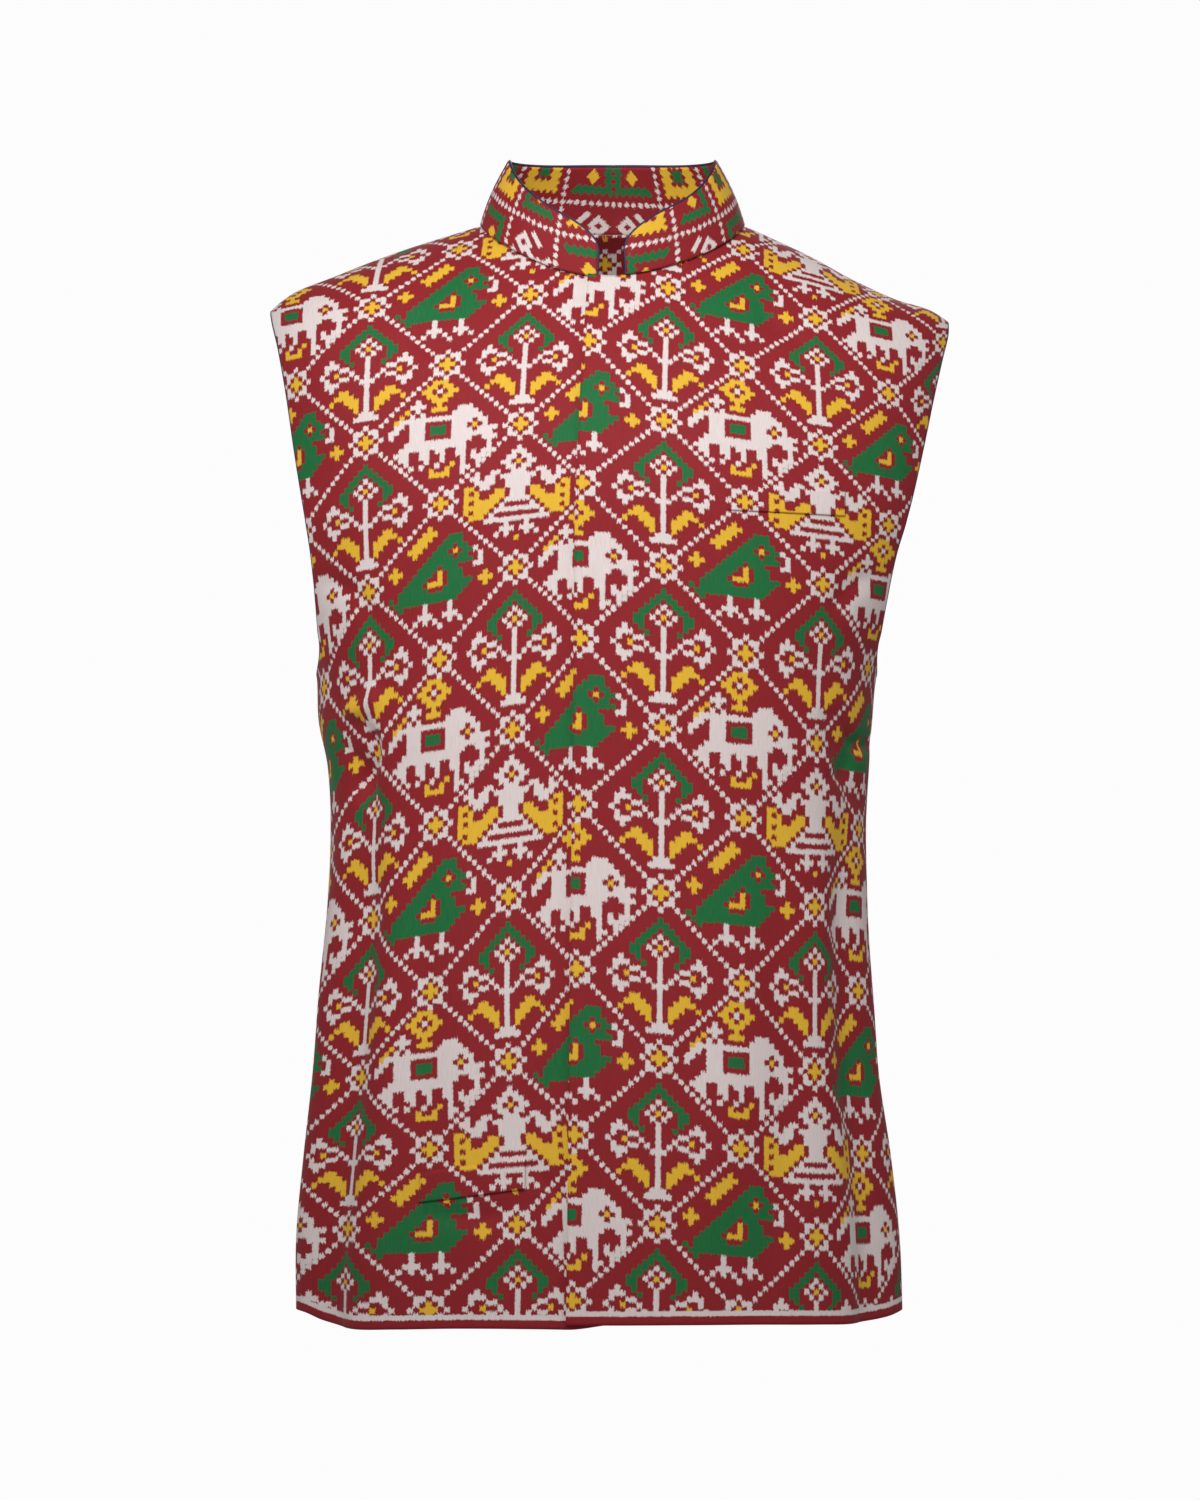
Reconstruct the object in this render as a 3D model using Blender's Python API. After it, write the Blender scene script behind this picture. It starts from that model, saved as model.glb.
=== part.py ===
"""Nehru jacket: a sleeveless worn jacket with a mandarin collar.

Metres, +Z up. The front faces -Y and the wearer's left is +X. The origin lies
level with the two neck points, midway between the shoulders that carry it.
Sizes below are in millimetres and are turned into metres at the end.
"""

import math

import bmesh
import bpy
from mathutils import Vector

# Driving dimensions, in millimetres.
CLOTH = 1.8
COLLAR_CLOTH = 2.4
SEAM_GAP = 0.3
COLLAR_GAP = 0.6
LAP_AIR = 1.0
PIPING_RADIUS = 0.8
CHEST_Z = -200.0
UNDERARM_DEG = -30.0
ROUND_SHARE = 0.2
MM_PER_RADIAN = 200.0
PLAN_POWER = 2.4
NECK_POWER = 1.8
TIP_POWER = 2.4
NECK_X = 5.0
NECK_HALF = 87.0
NECK_FRONT_DROP = 40.0
NECK_BACK_DROP = 3.0
NECK_FRONT_POWER = 1.6
COLLAR_HEIGHT = 46.0
COLLAR_FRONT = 38.0
COLLAR_END = 17.0
COLLAR_ROUND = 45.0
LAP_WIDTH = 36.0
WELT_THICK = 1.6
WELT_AIR = 0.6

# Counts of squares on the cloth walls.
NECK_COLUMNS = 10
SHOULDER_COLUMNS = 12
BACK_COLUMNS = 34
COLLAR_COLUMNS = 56
BACK_SHOULDER_COLUMNS = 10
BODY_ROWS = 19
ARM_ROWS = 18
FRONT_SPREAD = 0.6
BACK_SPREAD = 0.21

# One row for each level of the body: height, how far the cloth reaches to the
# wearer's right and left, and how far to the front and back.
LEVEL_COLUMNS = ("z", "right", "left", "front", "back")
LEVELS = (
    (-760, 206, 198, 130, 125),
    (-733, 206, 198, 130, 124),
    (-680, 206, 196, 129, 122),
    (-625, 201, 190, 127, 118),
    (-570, 195, 182, 125, 112),
    (-515, 191, 179, 123, 105),
    (-460, 187, 177, 122, 99),
    (-405, 185, 176, 122, 96),
    (-365, 187, 178, 124, 97),
    (-335, 193, 180, 126, 100),
    (-300, 195, 184, 128, 105),
    (-250, 207, 201, 130, 111),
    (-200, 222, 220, 131, 115),
    (-150, 226, 226, 131, 116),
)
TOP_REACH = {"right": 234.0, "left": 240.0}

# Drop of the shoulder line against distance from the neck's centre.
SHOULDER_COLUMNS_NAMED = ("out", "right", "left")
SHOULDER = (
    (0, 16, 16),
    (45, 11, 11),
    (87, 0, 0),
    (110, -7, -10),
    (135, -15, -22),
    (160, -24, -36),
    (190, -36, -50),
    (213, -45, -57),
    (226, -54, -65),
    (240, -68, -78),
)

# Reach of the armhole's edge against height, as an angle over the shoulder.
ARMHOLE_COLUMNS = ("degrees", "right", "left")
ARMHOLE = (
    (-22, 191.5, 184),
    (-15, 193, 188),
    (-7, 195.5, 193.5),
    (0, 199, 200.5),
    (15, 206, 210),
    (30, 212, 218),
    (45, 218, 225),
    (60, 223, 230),
    (75, 225, 231),
    (90, 225, 231),
)

# The free edge of the left front, from neck to hem.
PLACKET_COLUMNS = ("z", "x")
PLACKET = (
    (-760, -26.5),
    (-680, -25),
    (-310, -21),
    (-240, -20.3),
    (-195, -19.6),
    (-110, -16),
    (-39, -11.5),
    (0, -9),
)

# Height of the fronts' hem against distance from the middle.
HEM_COLUMNS = ("out", "right", "left")
HEM = (
    (0, -733.5, -730),
    (60, -732.5, -730),
    (100, -733, -730.5),
    (140, -735, -732),
    (170, -736.5, -733.5),
    (188, -734, -732),
    (200, -730, -729),
    (206, -729, -728),
)
BACK_HEM = -729.0

# Long soft folds: where each runs round the body in degrees, at its top and
# foot, its depth, its half width in degrees and the heights it spans.
FOLD_COLUMNS = ("face", "top_deg", "foot_deg", "depth", "half_deg", "top_z", "foot_z")
FOLDS = (
    ("front", 155, 162, 11.0, 6.5, -345, -800),
    ("front", 159, 158, 4.0, 6.0, -300, -430),
    ("front", 21, 20, 9.0, 6.0, -350, -800),
    ("front", 30, 14, 4.0, 5.0, -330, -400),
    ("front", 171, 173, -3.0, 5.0, -420, -800),
    ("front", 8, 7, -3.0, 5.0, -450, -800),
    ("back", 26, 30, 8.0, 7.0, -380, -800),
    ("back", 152, 147, 9.0, 7.0, -360, -800),
    ("back", 70, 62, 4.0, 9.0, -520, -800),
    ("back", 118, 125, 4.5, 9.0, -480, -800),
)

# The pocket welts: left and right ends, lower and upper edges at the left end,
# and how much the right end rises.
WELTS = {
    "chest_welt": (80, 158, -197, -180, -3),
    "hip_welt_right": (-123, -52, -651, -631, 10),
}

# The front that lies under the other one.
LAPPED = ("front", "right")

COLOURS = {
    "red_cloth": ((0.35, 0.02, 0.03, 1.0), 0.75),
    "collar_cloth": ((0.33, 0.02, 0.03, 1.0), 0.75),
    "welt_cloth": ((0.30, 0.02, 0.03, 1.0), 0.75),
    "piping": ((0.03, 0.015, 0.06, 1.0), 0.6),
}


def read(rows, names, column, at):
    """A smooth value from a table whose first column rises or falls steadily."""
    place = names.index(column)
    at = min(max(at, rows[0][0]), rows[-1][0])
    upper = next((i for i, row in enumerate(rows) if row[0] >= at), 1)
    i = max(1, upper)
    span = rows[i][0] - rows[i - 1][0]
    part = (at - rows[i - 1][0]) / span

    def slope(j):
        before, after = rows[max(j - 1, 0)], rows[min(j + 1, len(rows) - 1)]
        return (after[place] - before[place]) / (after[0] - before[0])

    a, b = rows[i - 1][place], rows[i][place]
    start, end = slope(i - 1) * span, slope(i) * span
    return (
        a
        + start * part
        + (3 * (b - a) - 2 * start - end) * part**2
        + (2 * (a - b) + start + end) * part**3
    )


def soft_step(low, high, value):
    part = min(max((value - low) / (high - low), 0.0), 1.0)
    return part * part * (3 - 2 * part)


def height_of(level):
    """Height below the chest, where the level is an angle under zero."""
    return CHEST_Z + level * MM_PER_RADIAN


def reach(side, level):
    if level <= 0:
        return read(LEVELS, LEVEL_COLUMNS, side, height_of(level))
    chest = read(LEVELS, LEVEL_COLUMNS, side, CHEST_Z)
    return chest + (TOP_REACH[side] - chest) * math.sin(level)


def depth(face, level):
    return read(LEVELS, LEVEL_COLUMNS, face, height_of(min(level, 0.0)))


def shoulder_line(x):
    side = "left" if x > NECK_X else "right"
    return read(SHOULDER, SHOULDER_COLUMNS_NAMED, side, abs(x - NECK_X))


def shoulder_power(x):
    """The shoulder is sharper by the neck and rounder at its tip."""
    return NECK_POWER + (TIP_POWER - NECK_POWER) * soft_step(90, 215, abs(x - NECK_X))


def fold_depth(face, turn, level):
    """How far the folds push the cloth in here."""
    z = height_of(level)
    degrees = math.degrees(turn)
    total = 0.0
    for row in FOLDS:
        fold = dict(zip(FOLD_COLUMNS, row))
        if fold["face"] != face:
            continue
        along = (fold["top_z"] - z) / (fold["top_z"] - fold["foot_z"])
        if along <= 0 or along >= 1:
            continue
        middle = fold["top_deg"] + (fold["foot_deg"] - fold["top_deg"]) * along
        fade = soft_step(0, 0.3, along)
        if fold["foot_z"] > -750:
            fade *= soft_step(0, 0.3, 1 - along)
        spread = (degrees - middle) / fold["half_deg"]
        total += fold["depth"] * fade * math.exp(-spread * spread)
    return total


def on_body(face, turn, level, push=0.0):
    """A point of the cloth's outer face, in millimetres.

    turn runs round the body from the wearer's left (0) past the middle (90
    degrees) to the right (180 degrees). level is a height under the chest and
    an angle over the shoulder above it. push moves the point inwards.
    """
    across, along = math.cos(turn), math.sin(turn)
    wide = reach("left" if across > 0 else "right", level)
    deep = depth(face, level)
    radius = (abs(across) / wide) ** PLAN_POWER + (abs(along) / deep) ** PLAN_POWER
    radius = radius ** (-1 / PLAN_POWER)
    if level < 0:
        radius -= fold_depth(face, turn, level)
    x, y = radius * across, max(radius * along, 0.0)
    if level <= 0:
        z = height_of(level)
        y -= push
    else:
        c, s = math.cos(level), math.sin(level)
        power = shoulder_power(x)
        rho = (max(c, 0.0) ** power + s**power) ** (-1 / power)
        z = CHEST_Z + (shoulder_line(x) - CHEST_Z) * rho * s - push * s
        y = y * rho * max(c, 0.0) - push * max(c, 0.0)
    return Vector((x, -y if face == "front" else y, z))


def outward(face, side, turn, level):
    """The way out of a panel's cloth at a place of the body."""
    step = 0.01
    level = min(level, math.pi / 2)

    def point(a, b):
        a, b = min(max(a, 0.0), math.pi), min(b, math.pi / 2)
        push = lap_push(on_body(face, a, b).x) if (face, side) == LAPPED else 0.0
        return on_body(face, a, b, push)

    across = point(turn + step, level) - point(turn - step, level)
    up = point(turn, level + step) - point(turn, level - step)
    way = up.cross(across) if face == "front" else across.cross(up)
    if abs(on_body(face, turn, level).y) < SEAM_GAP:
        way.y = 0
    return way.normalized()


def locate(face, x, z):
    """The turn and level of the cloth at this x and z, above the chest or below."""
    if z <= CHEST_Z:
        level = (z - CHEST_Z) / MM_PER_RADIAN
    else:
        t = min((z - CHEST_Z) / (shoulder_line(x) - CHEST_Z), 1.0)
        power = shoulder_power(x)
        level = math.atan2(t, (1 - t**power) ** (1 / power))
    wide = reach("left" if x > 0 else "right", level)
    share = min(abs(x) / wide, 1.0)
    along = depth(face, level) * (1 - share**PLAN_POWER) ** (1 / PLAN_POWER)
    turn = math.atan2(along, wide * share)
    return (turn if x > 0 else math.pi - turn), level


def neckline(face, side, degrees):
    """The neck seam: 0 degrees is the neck point and 90 the middle."""
    c = abs(math.cos(math.radians(degrees)))
    s = abs(math.sin(math.radians(degrees)))
    power, drop = (
        (NECK_FRONT_POWER, NECK_FRONT_DROP) if face == "front" else (2.0, NECK_BACK_DROP)
    )
    rho = (c**power + s**power) ** (-1 / power)
    sign = 1 if side == "left" else -1
    if degrees > 90:
        sign = -sign
    return locate(face, NECK_X + sign * NECK_HALF * rho * c, -drop * rho * s)


def evenly_run(face, line, samples=120):
    """A function of 0 to 1 that runs along a seam line at an even pace."""
    places = [line(i / samples) for i in range(samples + 1)]
    points = [on_body(face, *place) for place in places]
    lengths = [0.0]
    for a, b in zip(points, points[1:]):
        lengths.append(lengths[-1] + (b - a).length)

    def at(part):
        wanted = lengths[-1] * min(max(part, 0.0), 1.0)
        i = next((i for i, length in enumerate(lengths) if length >= wanted), samples)
        i = max(i, 1)
        share = (wanted - lengths[i - 1]) / (lengths[i] - lengths[i - 1])
        return mix(places[i - 1], places[i], share)

    return at


def even_neckline(face, side, first, last):
    """The neck seam between two angles, at an even pace."""
    return evenly_run(
        face, lambda part: neckline(face, side, first + (last - first) * part)
    )


def even_armhole(face, side):
    """The armhole's edge from the underarm to the shoulder, at an even pace."""
    return evenly_run(face, lambda part: armhole(face, side, part))


def armhole(face, side, part):
    """The armhole's edge: part 0 is the underarm and 1 the shoulder."""
    first = ARMHOLE[0][0]
    if part < ROUND_SHARE:
        # A round end down to the side seam.
        swing = part / ROUND_SHARE * math.pi / 2
        degrees = UNDERARM_DEG + (first - UNDERARM_DEG) * (1 - math.cos(swing))
        level = math.radians(degrees)
        edge = read(ARMHOLE, ARMHOLE_COLUMNS, side, first)
        turn = turn_for(face, side, edge, math.radians(first)) * math.sin(swing)
    else:
        degrees = first + (90 - first) * (part - ROUND_SHARE) / (1 - ROUND_SHARE)
        level = math.radians(degrees)
        edge = read(ARMHOLE, ARMHOLE_COLUMNS, side, degrees)
        turn = turn_for(face, side, edge, level)
    return (turn if side == "left" else math.pi - turn), level


def turn_for(face, side, x, level):
    """The turn, from that side's seam, at which the cloth reaches x."""
    wide = reach(side, level)
    share = min(x / wide, 1.0)
    along = depth(face, level) * (1 - share**PLAN_POWER) ** (1 / PLAN_POWER)
    return math.atan2(along, wide * share)


def placket_x(z):
    return read(PLACKET, PLACKET_COLUMNS, "x", z)


def front_edge(side, z):
    """The turn and level of a front's free edge at this height."""
    x = placket_x(z)
    if side == "right":
        x += LAP_WIDTH
    return locate("front", x, z)


def lap_push(x):
    """The right front sinks under the left one near the middle."""
    return (CLOTH + LAP_AIR) * soft_step(-64, -32, x)


def hem_level(face, side, x):
    z = BACK_HEM if face == "back" else read(HEM, HEM_COLUMNS, side, abs(x))
    return (z - CHEST_Z) / MM_PER_RADIAN


def mix(a, b, part):
    return tuple(p + (q - p) * part for p, q in zip(a, b))


def spread(u, corner, share):
    """Gives the columns up to the corner this share of the body's width."""
    if u <= corner:
        return share * u / corner
    return share + (1 - share) * (u - corner) / (1 - corner)


def bulge(edge, low, high, part):
    """How far an edge's point lies from the straight line between its ends."""
    return tuple(a - b for a, b in zip(edge, mix(low, high, part)))


def front_place(side):
    """The point of a front at u (0 the free edge, 1 the side) and v (0 the hem)."""
    neck_share = NECK_COLUMNS / (NECK_COLUMNS + SHOULDER_COLUMNS)
    body_share = BODY_ROWS / (BODY_ROWS + ARM_ROWS)
    underarm = math.radians(UNDERARM_DEG)
    underarm_z = height_of(underarm)
    outer_turn = 0.0 if side == "left" else math.pi
    neck_edge_x = placket_x(-39) + (LAP_WIDTH if side == "right" else 0)

    def find_neck_edge():
        """The neckline's angle where the front's free edge meets it."""
        low, high = 30.0, 150.0
        for _ in range(40):
            middle = (low + high) / 2
            turn, level = neckline("front", side, middle)
            x = on_body("front", turn, level).x
            passed = x < neck_edge_x if side == "left" else x > neck_edge_x
            if passed:
                high = middle
            else:
                low = middle
        return (low + high) / 2

    neck_edge_deg = find_neck_edge()
    neck_corner = neckline("front", side, neck_edge_deg)
    neck_corner_z = on_body("front", *neck_corner).z
    neck_turn = neckline("front", side, 0)[0]
    tip_turn = armhole("front", side, 1)[0]

    def side_turn(level):
        gap = SEAM_GAP / 2 / reach(side, level)
        return gap if side == "left" else math.pi - gap

    along_neck = even_neckline("front", side, neck_edge_deg, 0)
    along_armhole = even_armhole("front", side)

    def top(u):
        if u <= neck_share:
            return along_neck(u / neck_share)
        part = (u - neck_share) / (1 - neck_share)
        return (neck_turn + (tip_turn - neck_turn) * part, math.pi / 2)

    def coordinates(u, v):
        if v <= body_share:
            part = v / body_share
            edge_z = -732 + (underarm_z + 732) * part
            edge = front_edge(side, edge_z)
            outer = side_turn(underarm * part - 2.6 * (1 - part))
            turn = edge[0] + (outer - edge[0]) * spread(u, neck_share, FRONT_SPREAD)
            x = on_body("front", turn, -2.6).x
            hem = hem_level("front", side, x)
            return turn, hem + (underarm - hem) * part
        part = (v - body_share) / (1 - body_share)
        start = front_edge(side, underarm_z)
        inner_z = underarm_z + (neck_corner_z - underarm_z) * part
        seam = (side_turn(underarm), underarm)
        inner = front_edge(side, inner_z) if part < 1 else neck_corner
        outer = along_armhole(part) if part > 0 else seam
        rules = (
            (mix(mix(start, seam, spread(u, neck_share, FRONT_SPREAD)), top(u), part), 1),
            (bulge(inner, start, neck_corner, part), (1 - u) ** 3),
            (bulge(outer, seam, (tip_turn, math.pi / 2), part), u**2),
        )
        return tuple(sum(pair[i] * share for pair, share in rules) for i in (0, 1))

    def place(u, v):
        turn, level = coordinates(u, v)
        level = min(level, math.pi / 2)
        x = on_body("front", turn, level).x
        push = lap_push(x) if side == "right" else 0.0
        point = on_body("front", turn, level, push)
        if abs(point.y) < SEAM_GAP:
            point.y = -SEAM_GAP / 2
        return point

    def out(u, v):
        return outward("front", side, *coordinates(u, v))

    return place, out


def back_place():
    """The point of the back at u (0 the left side, 1 the right) and v (0 the hem)."""
    half = BACK_SHOULDER_COLUMNS / BACK_COLUMNS
    body_share = BODY_ROWS / (BODY_ROWS + ARM_ROWS)
    underarm = math.radians(UNDERARM_DEG)
    tips = {side: armhole("back", side, 1)[0] for side in ("left", "right")}
    necks = {side: neckline("back", side, 0)[0] for side in ("left", "right")}

    def side_turns(level):
        return (
            SEAM_GAP / 2 / reach("left", level),
            math.pi - SEAM_GAP / 2 / reach("right", level),
        )

    along_neck = even_neckline("back", "left", 0, 180)
    along_left = even_armhole("back", "left")
    along_right = even_armhole("back", "right")

    def across(u):
        """Puts the shoulders' columns closer together lower down."""
        if u <= half:
            return BACK_SPREAD * u / half
        if u >= 1 - half:
            return 1 - BACK_SPREAD * (1 - u) / half
        return BACK_SPREAD + (1 - 2 * BACK_SPREAD) * (u - half) / (1 - 2 * half)

    def top(u):
        if u < half:
            part = u / half
            return (tips["left"] + (necks["left"] - tips["left"]) * part, math.pi / 2)
        if u > 1 - half:
            part = (1 - u) / half
            return (tips["right"] + (necks["right"] - tips["right"]) * part, math.pi / 2)
        return along_neck((u - half) / (1 - 2 * half))

    def coordinates(u, v):
        if v <= body_share:
            part = v / body_share
            hem = hem_level("back", "left", 0)
            level = hem + (underarm - hem) * part
            left, right = side_turns(level)
            return left + (right - left) * across(u), level
        part = (v - body_share) / (1 - body_share)
        left, right = ((turn, underarm) for turn in side_turns(underarm))
        start = along_left(part) if part > 0 else left
        end = along_right(part) if part > 0 else right
        rules = (
            (mix(mix(left, right, across(u)), top(u), part), 1.0),
            (bulge(start, left, (tips["left"], math.pi / 2), part), (1 - u) ** 5),
            (bulge(end, right, (tips["right"], math.pi / 2), part), u**5),
        )
        return tuple(sum(pair[i] * share for pair, share in rules) for i in (0, 1))

    def place(u, v):
        turn, level = coordinates(u, v)
        point = on_body("back", turn, min(level, math.pi / 2))
        if abs(point.y) < SEAM_GAP:
            point.y = SEAM_GAP / 2
        return point

    def out(u, v):
        return outward("back", "both", *coordinates(u, v))

    return place, out


def facing(place, u, v, step=0.012):
    """The outward direction of a place function that runs round u, then up v."""
    across = place(min(u + step, 1), v) - place(max(u - step, 0), v)
    up = place(u, min(v + step, 1)) - place(u, max(v - step, 0))
    direction = across.cross(up)
    if abs(place(u, v).y) < SEAM_GAP:
        direction.y = 0
    return direction.normalized()


def cloth_wall(
    name, columns, rows, place, thick, material, lift=0.0, turned=False, out=None
):
    """A wall of cloth: a grid laid on place, doubled inwards by its thickness."""
    work = bmesh.new()
    bmesh.ops.create_grid(work, x_segments=columns, y_segments=rows, size=0.5)
    outer, inner = {}, {}
    for vertex in work.verts:
        u, v = vertex.co.x + 0.5, vertex.co.y + 0.5
        u, v = round(u * columns) / columns, round(v * rows) / rows
        shown = 1 - u if turned else u
        point = place(shown, v)
        if out:
            normal = out(shown, v)
        else:
            normal = facing(place, shown, v) * (-1 if turned else 1)
        outer[vertex.index] = point + normal * lift
        inner[vertex.index] = point + normal * (lift - thick)
    flat = list(work.faces)
    order = {vertex: vertex.index for vertex in work.verts}
    made = bmesh.ops.extrude_face_region(work, geom=flat)
    copies = [item for item in made["geom"] if isinstance(item, bmesh.types.BMVert)]
    lookup = {tuple(round(c, 5) for c in vertex.co): order[vertex] for vertex in order}
    for copy in copies:
        key = lookup[tuple(round(c, 5) for c in copy.co)]
        copy.co = outer[key] * 0.001
    for vertex, key in order.items():
        if vertex.is_valid:
            vertex.co = inner[key] * 0.001
    bmesh.ops.recalc_face_normals(work, faces=work.faces)
    mesh = bpy.data.meshes.new(name)
    work.to_mesh(mesh)
    work.free()
    mesh.shade_smooth()
    mesh.set_sharp_from_angle(angle=math.radians(50))
    part = bpy.data.objects.new(name, mesh)
    mesh.materials.append(material)
    jacket.objects.link(part)
    return part


def tube(name, points, radius, material, closed):
    """A round cord through the points."""
    curve = bpy.data.curves.new(name, "CURVE")
    curve.dimensions = "3D"
    curve.bevel_depth = radius * 0.001
    curve.bevel_resolution = 1
    curve.use_fill_caps = True
    spline = curve.splines.new("POLY")
    spline.points.add(len(points) - 1)
    for knot, point in zip(spline.points, points):
        knot.co = (*(point * 0.001), 1)
    spline.use_cyclic_u = closed
    curve.materials.append(material)
    cord = bpy.data.objects.new(name, curve)
    jacket.objects.link(cord)
    return cord


def evenly(points, count):
    """Points the same distance apart along a line of points."""
    lengths = [0.0]
    for a, b in zip(points, points[1:]):
        lengths.append(lengths[-1] + (b - a).length)
    found, j = [], 0
    for i in range(count):
        wanted = lengths[-1] * i / (count - 1)
        while j < len(points) - 2 and lengths[j + 1] < wanted:
            j += 1
        span = lengths[j + 1] - lengths[j]
        found.append(points[j].lerp(points[j + 1], (wanted - lengths[j]) / span))
    return found


def neck_ring():
    """The neck seam from the collar's right end, round the back, to its left end."""
    ring = []
    for side, first in (("right", 83), ("left", 84)):
        line = []
        for i in range(61):
            turn, level = neckline("front", side, first * (1 - i / 60))
            x = on_body("front", turn, level).x
            push = lap_push(x) if side == "right" else 0.0
            line.append(on_body("front", turn, level, push))
        ring.append(line)
    back = [
        on_body("back", *neckline("back", "right", 180 * i / 60)) for i in range(1, 60)
    ]
    return ring[0] + back + ring[1][::-1]


def collar_place():
    """The collar at u (0 its right front end, 1 its left) and v (0 the seam)."""
    count = 241
    base = evenly(neck_ring(), count)
    length = sum((b - a).length for a, b in zip(base, base[1:]))
    centre = Vector((NECK_X, -14.0, 0.0))

    def place(u, v):
        at = min(max(u, 0.0), 1.0) * (count - 1)
        i = min(int(at), count - 2)
        foot = base[i].lerp(base[i + 1], at - i)
        from_end = min(u, 1 - u) * length
        grown = soft_step(30, 125, from_end)
        height = COLLAR_FRONT + (COLLAR_HEIGHT - COLLAR_FRONT) * grown
        if from_end < COLLAR_ROUND:
            share = 1 - from_end / COLLAR_ROUND
            height = COLLAR_END + (height - COLLAR_END) * math.sqrt(
                max(1 - share * share, 0)
            )
        inward = centre - foot
        inward.z = 0
        inward.normalize()
        sideways = abs(inward.x)
        behind = max(-inward.y, 0.0)
        lean = 0.10 + 0.30 * sideways**2 + 0.10 * behind
        bow = 0.04 * math.sin(math.pi * v)
        rise = height * v
        upward = Vector((0, 0, math.sqrt(1 - lean * lean)))
        return foot + upward * (rise + COLLAR_GAP) + inward * (rise * lean - bow * height)

    return place


def collar_ring(place, columns):
    """Centres of the cord along the collar's top, and down both of its ends."""
    steps = 4
    out = SEAM_GAP + PIPING_RADIUS
    edge = [(0.0, i / steps) for i in range(steps)]
    edge += [(i / columns, 1.0) for i in range(columns + 1)]
    edge += [(1.0, 1 - i / steps) for i in range(1, steps + 1)]
    points = []
    for u, v in edge:
        normal = -facing(place, u, v)
        point = place(u, v) - normal * COLLAR_CLOTH / 2
        points.append((point, normal))
    ring = []
    for i, (point, normal) in enumerate(points):
        before = points[max(i - 1, 0)][0]
        after = points[min(i + 1, len(points) - 1)][0]
        outward = (after - before).cross(normal).normalized()
        if outward.z < 0:
            outward = -outward
        if i < steps:
            outward = Vector((1, 0, 0))
        if i >= len(points) - steps:
            outward = Vector((-1, 0, 0))
        ring.append(point + outward * out)
    return ring


def armhole_ring(side):
    """Centres of the cord round an armhole, at the rows of the two walls."""
    body_share = BODY_ROWS / (BODY_ROWS + ARM_ROWS)
    gap = SEAM_GAP + PIPING_RADIUS
    sign = 1 if side == "left" else -1
    edges = (
        (front_place(side), 1.0, sign),
        (back_place(), 0.0 if side == "left" else 1.0, -sign),
    )
    lines = []
    for (place, out), u, turned in edges:
        line = []
        for row in range(ARM_ROWS + 1):
            v = body_share + (1 - body_share) * row / ARM_ROWS
            point, normal = place(u, v), out(u, v)
            along = place(u, min(v + 0.01, 1)) - place(u, max(v - 0.01, body_share))
            away = along.cross(normal).normalized() * turned
            if row in (0, ARM_ROWS):
                away.y = 0
                away.normalize()
                point.y = 0
            line.append(point - normal * CLOTH / 2 + away * gap)
        lines.append(line)
    return lines[0] + lines[1][-2:0:-1]


def patch_place(corners):
    """A strip on a front between x and z limits, sloping by the given rise."""
    left, right, low, high, rise = corners

    def place(u, v):
        x = left + (right - left) * u
        z = low + (high - low) * v + rise * u
        turn, level = locate("front", x, z)
        return on_body("front", turn, level)

    return place


def material_of(name):
    colour, rough = COLOURS[name]
    made = bpy.data.materials.new(name)
    made.use_nodes = True
    shader = made.node_tree.nodes["Principled BSDF"]
    shader.inputs["Base Color"].default_value = colour
    shader.inputs["Roughness"].default_value = rough
    shader.inputs["Metallic"].default_value = 0.0
    return made


for old in list(bpy.data.objects):
    bpy.data.objects.remove(old, do_unlink=True)

jacket = bpy.data.collections.new("nehru_jacket")
bpy.context.scene.collection.children.link(jacket)
materials = {name: material_of(name) for name in COLOURS}

# The three body panels.
front_columns = NECK_COLUMNS + SHOULDER_COLUMNS
rows = BODY_ROWS + ARM_ROWS
for side in ("right", "left"):
    place, out = front_place(side)
    cloth_wall(
        "front_" + side,
        front_columns,
        rows,
        place,
        CLOTH,
        materials["red_cloth"],
        turned=side == "right",
        out=out,
    )
place, out = back_place()
cloth_wall(
    "back",
    BACK_COLUMNS,
    rows,
    place,
    CLOTH,
    materials["red_cloth"],
    out=out,
)

# The welts of the pockets, laid on the fronts.
for name, strip in WELTS.items():
    cloth_wall(
        name,
        16,
        3,
        patch_place(strip),
        WELT_THICK,
        materials["welt_cloth"],
        lift=WELT_THICK + WELT_AIR,
    )

# The standing collar and the cord along its edge.
cloth_wall(
    "collar",
    COLLAR_COLUMNS,
    5,
    collar_place(),
    COLLAR_CLOTH,
    materials["collar_cloth"],
    turned=True,
)
tube(
    "collar_piping",
    collar_ring(collar_place(), COLLAR_COLUMNS),
    PIPING_RADIUS,
    materials["piping"],
    closed=False,
)

# The cords round the armholes.
for side in ("right", "left"):
    tube(
        "armhole_piping_" + side,
        armhole_ring(side),
        PIPING_RADIUS,
        materials["piping"],
        closed=True,
    )
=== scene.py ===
# %% [markdown]
# # A nehru jacket in woven trellis cloth
#
# The jacket hangs in the air in the shape it has when it is worn: two fronts, a
# back, a standing collar with its cord, two corded armholes and two welt pockets.
# The solids of the model give its size. Here each panel becomes a fine shell of
# cloth laid on the same form, and the woven pattern is drawn by a material that
# reads a small chart for each motif.

# %% Load the frame
import math

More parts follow.
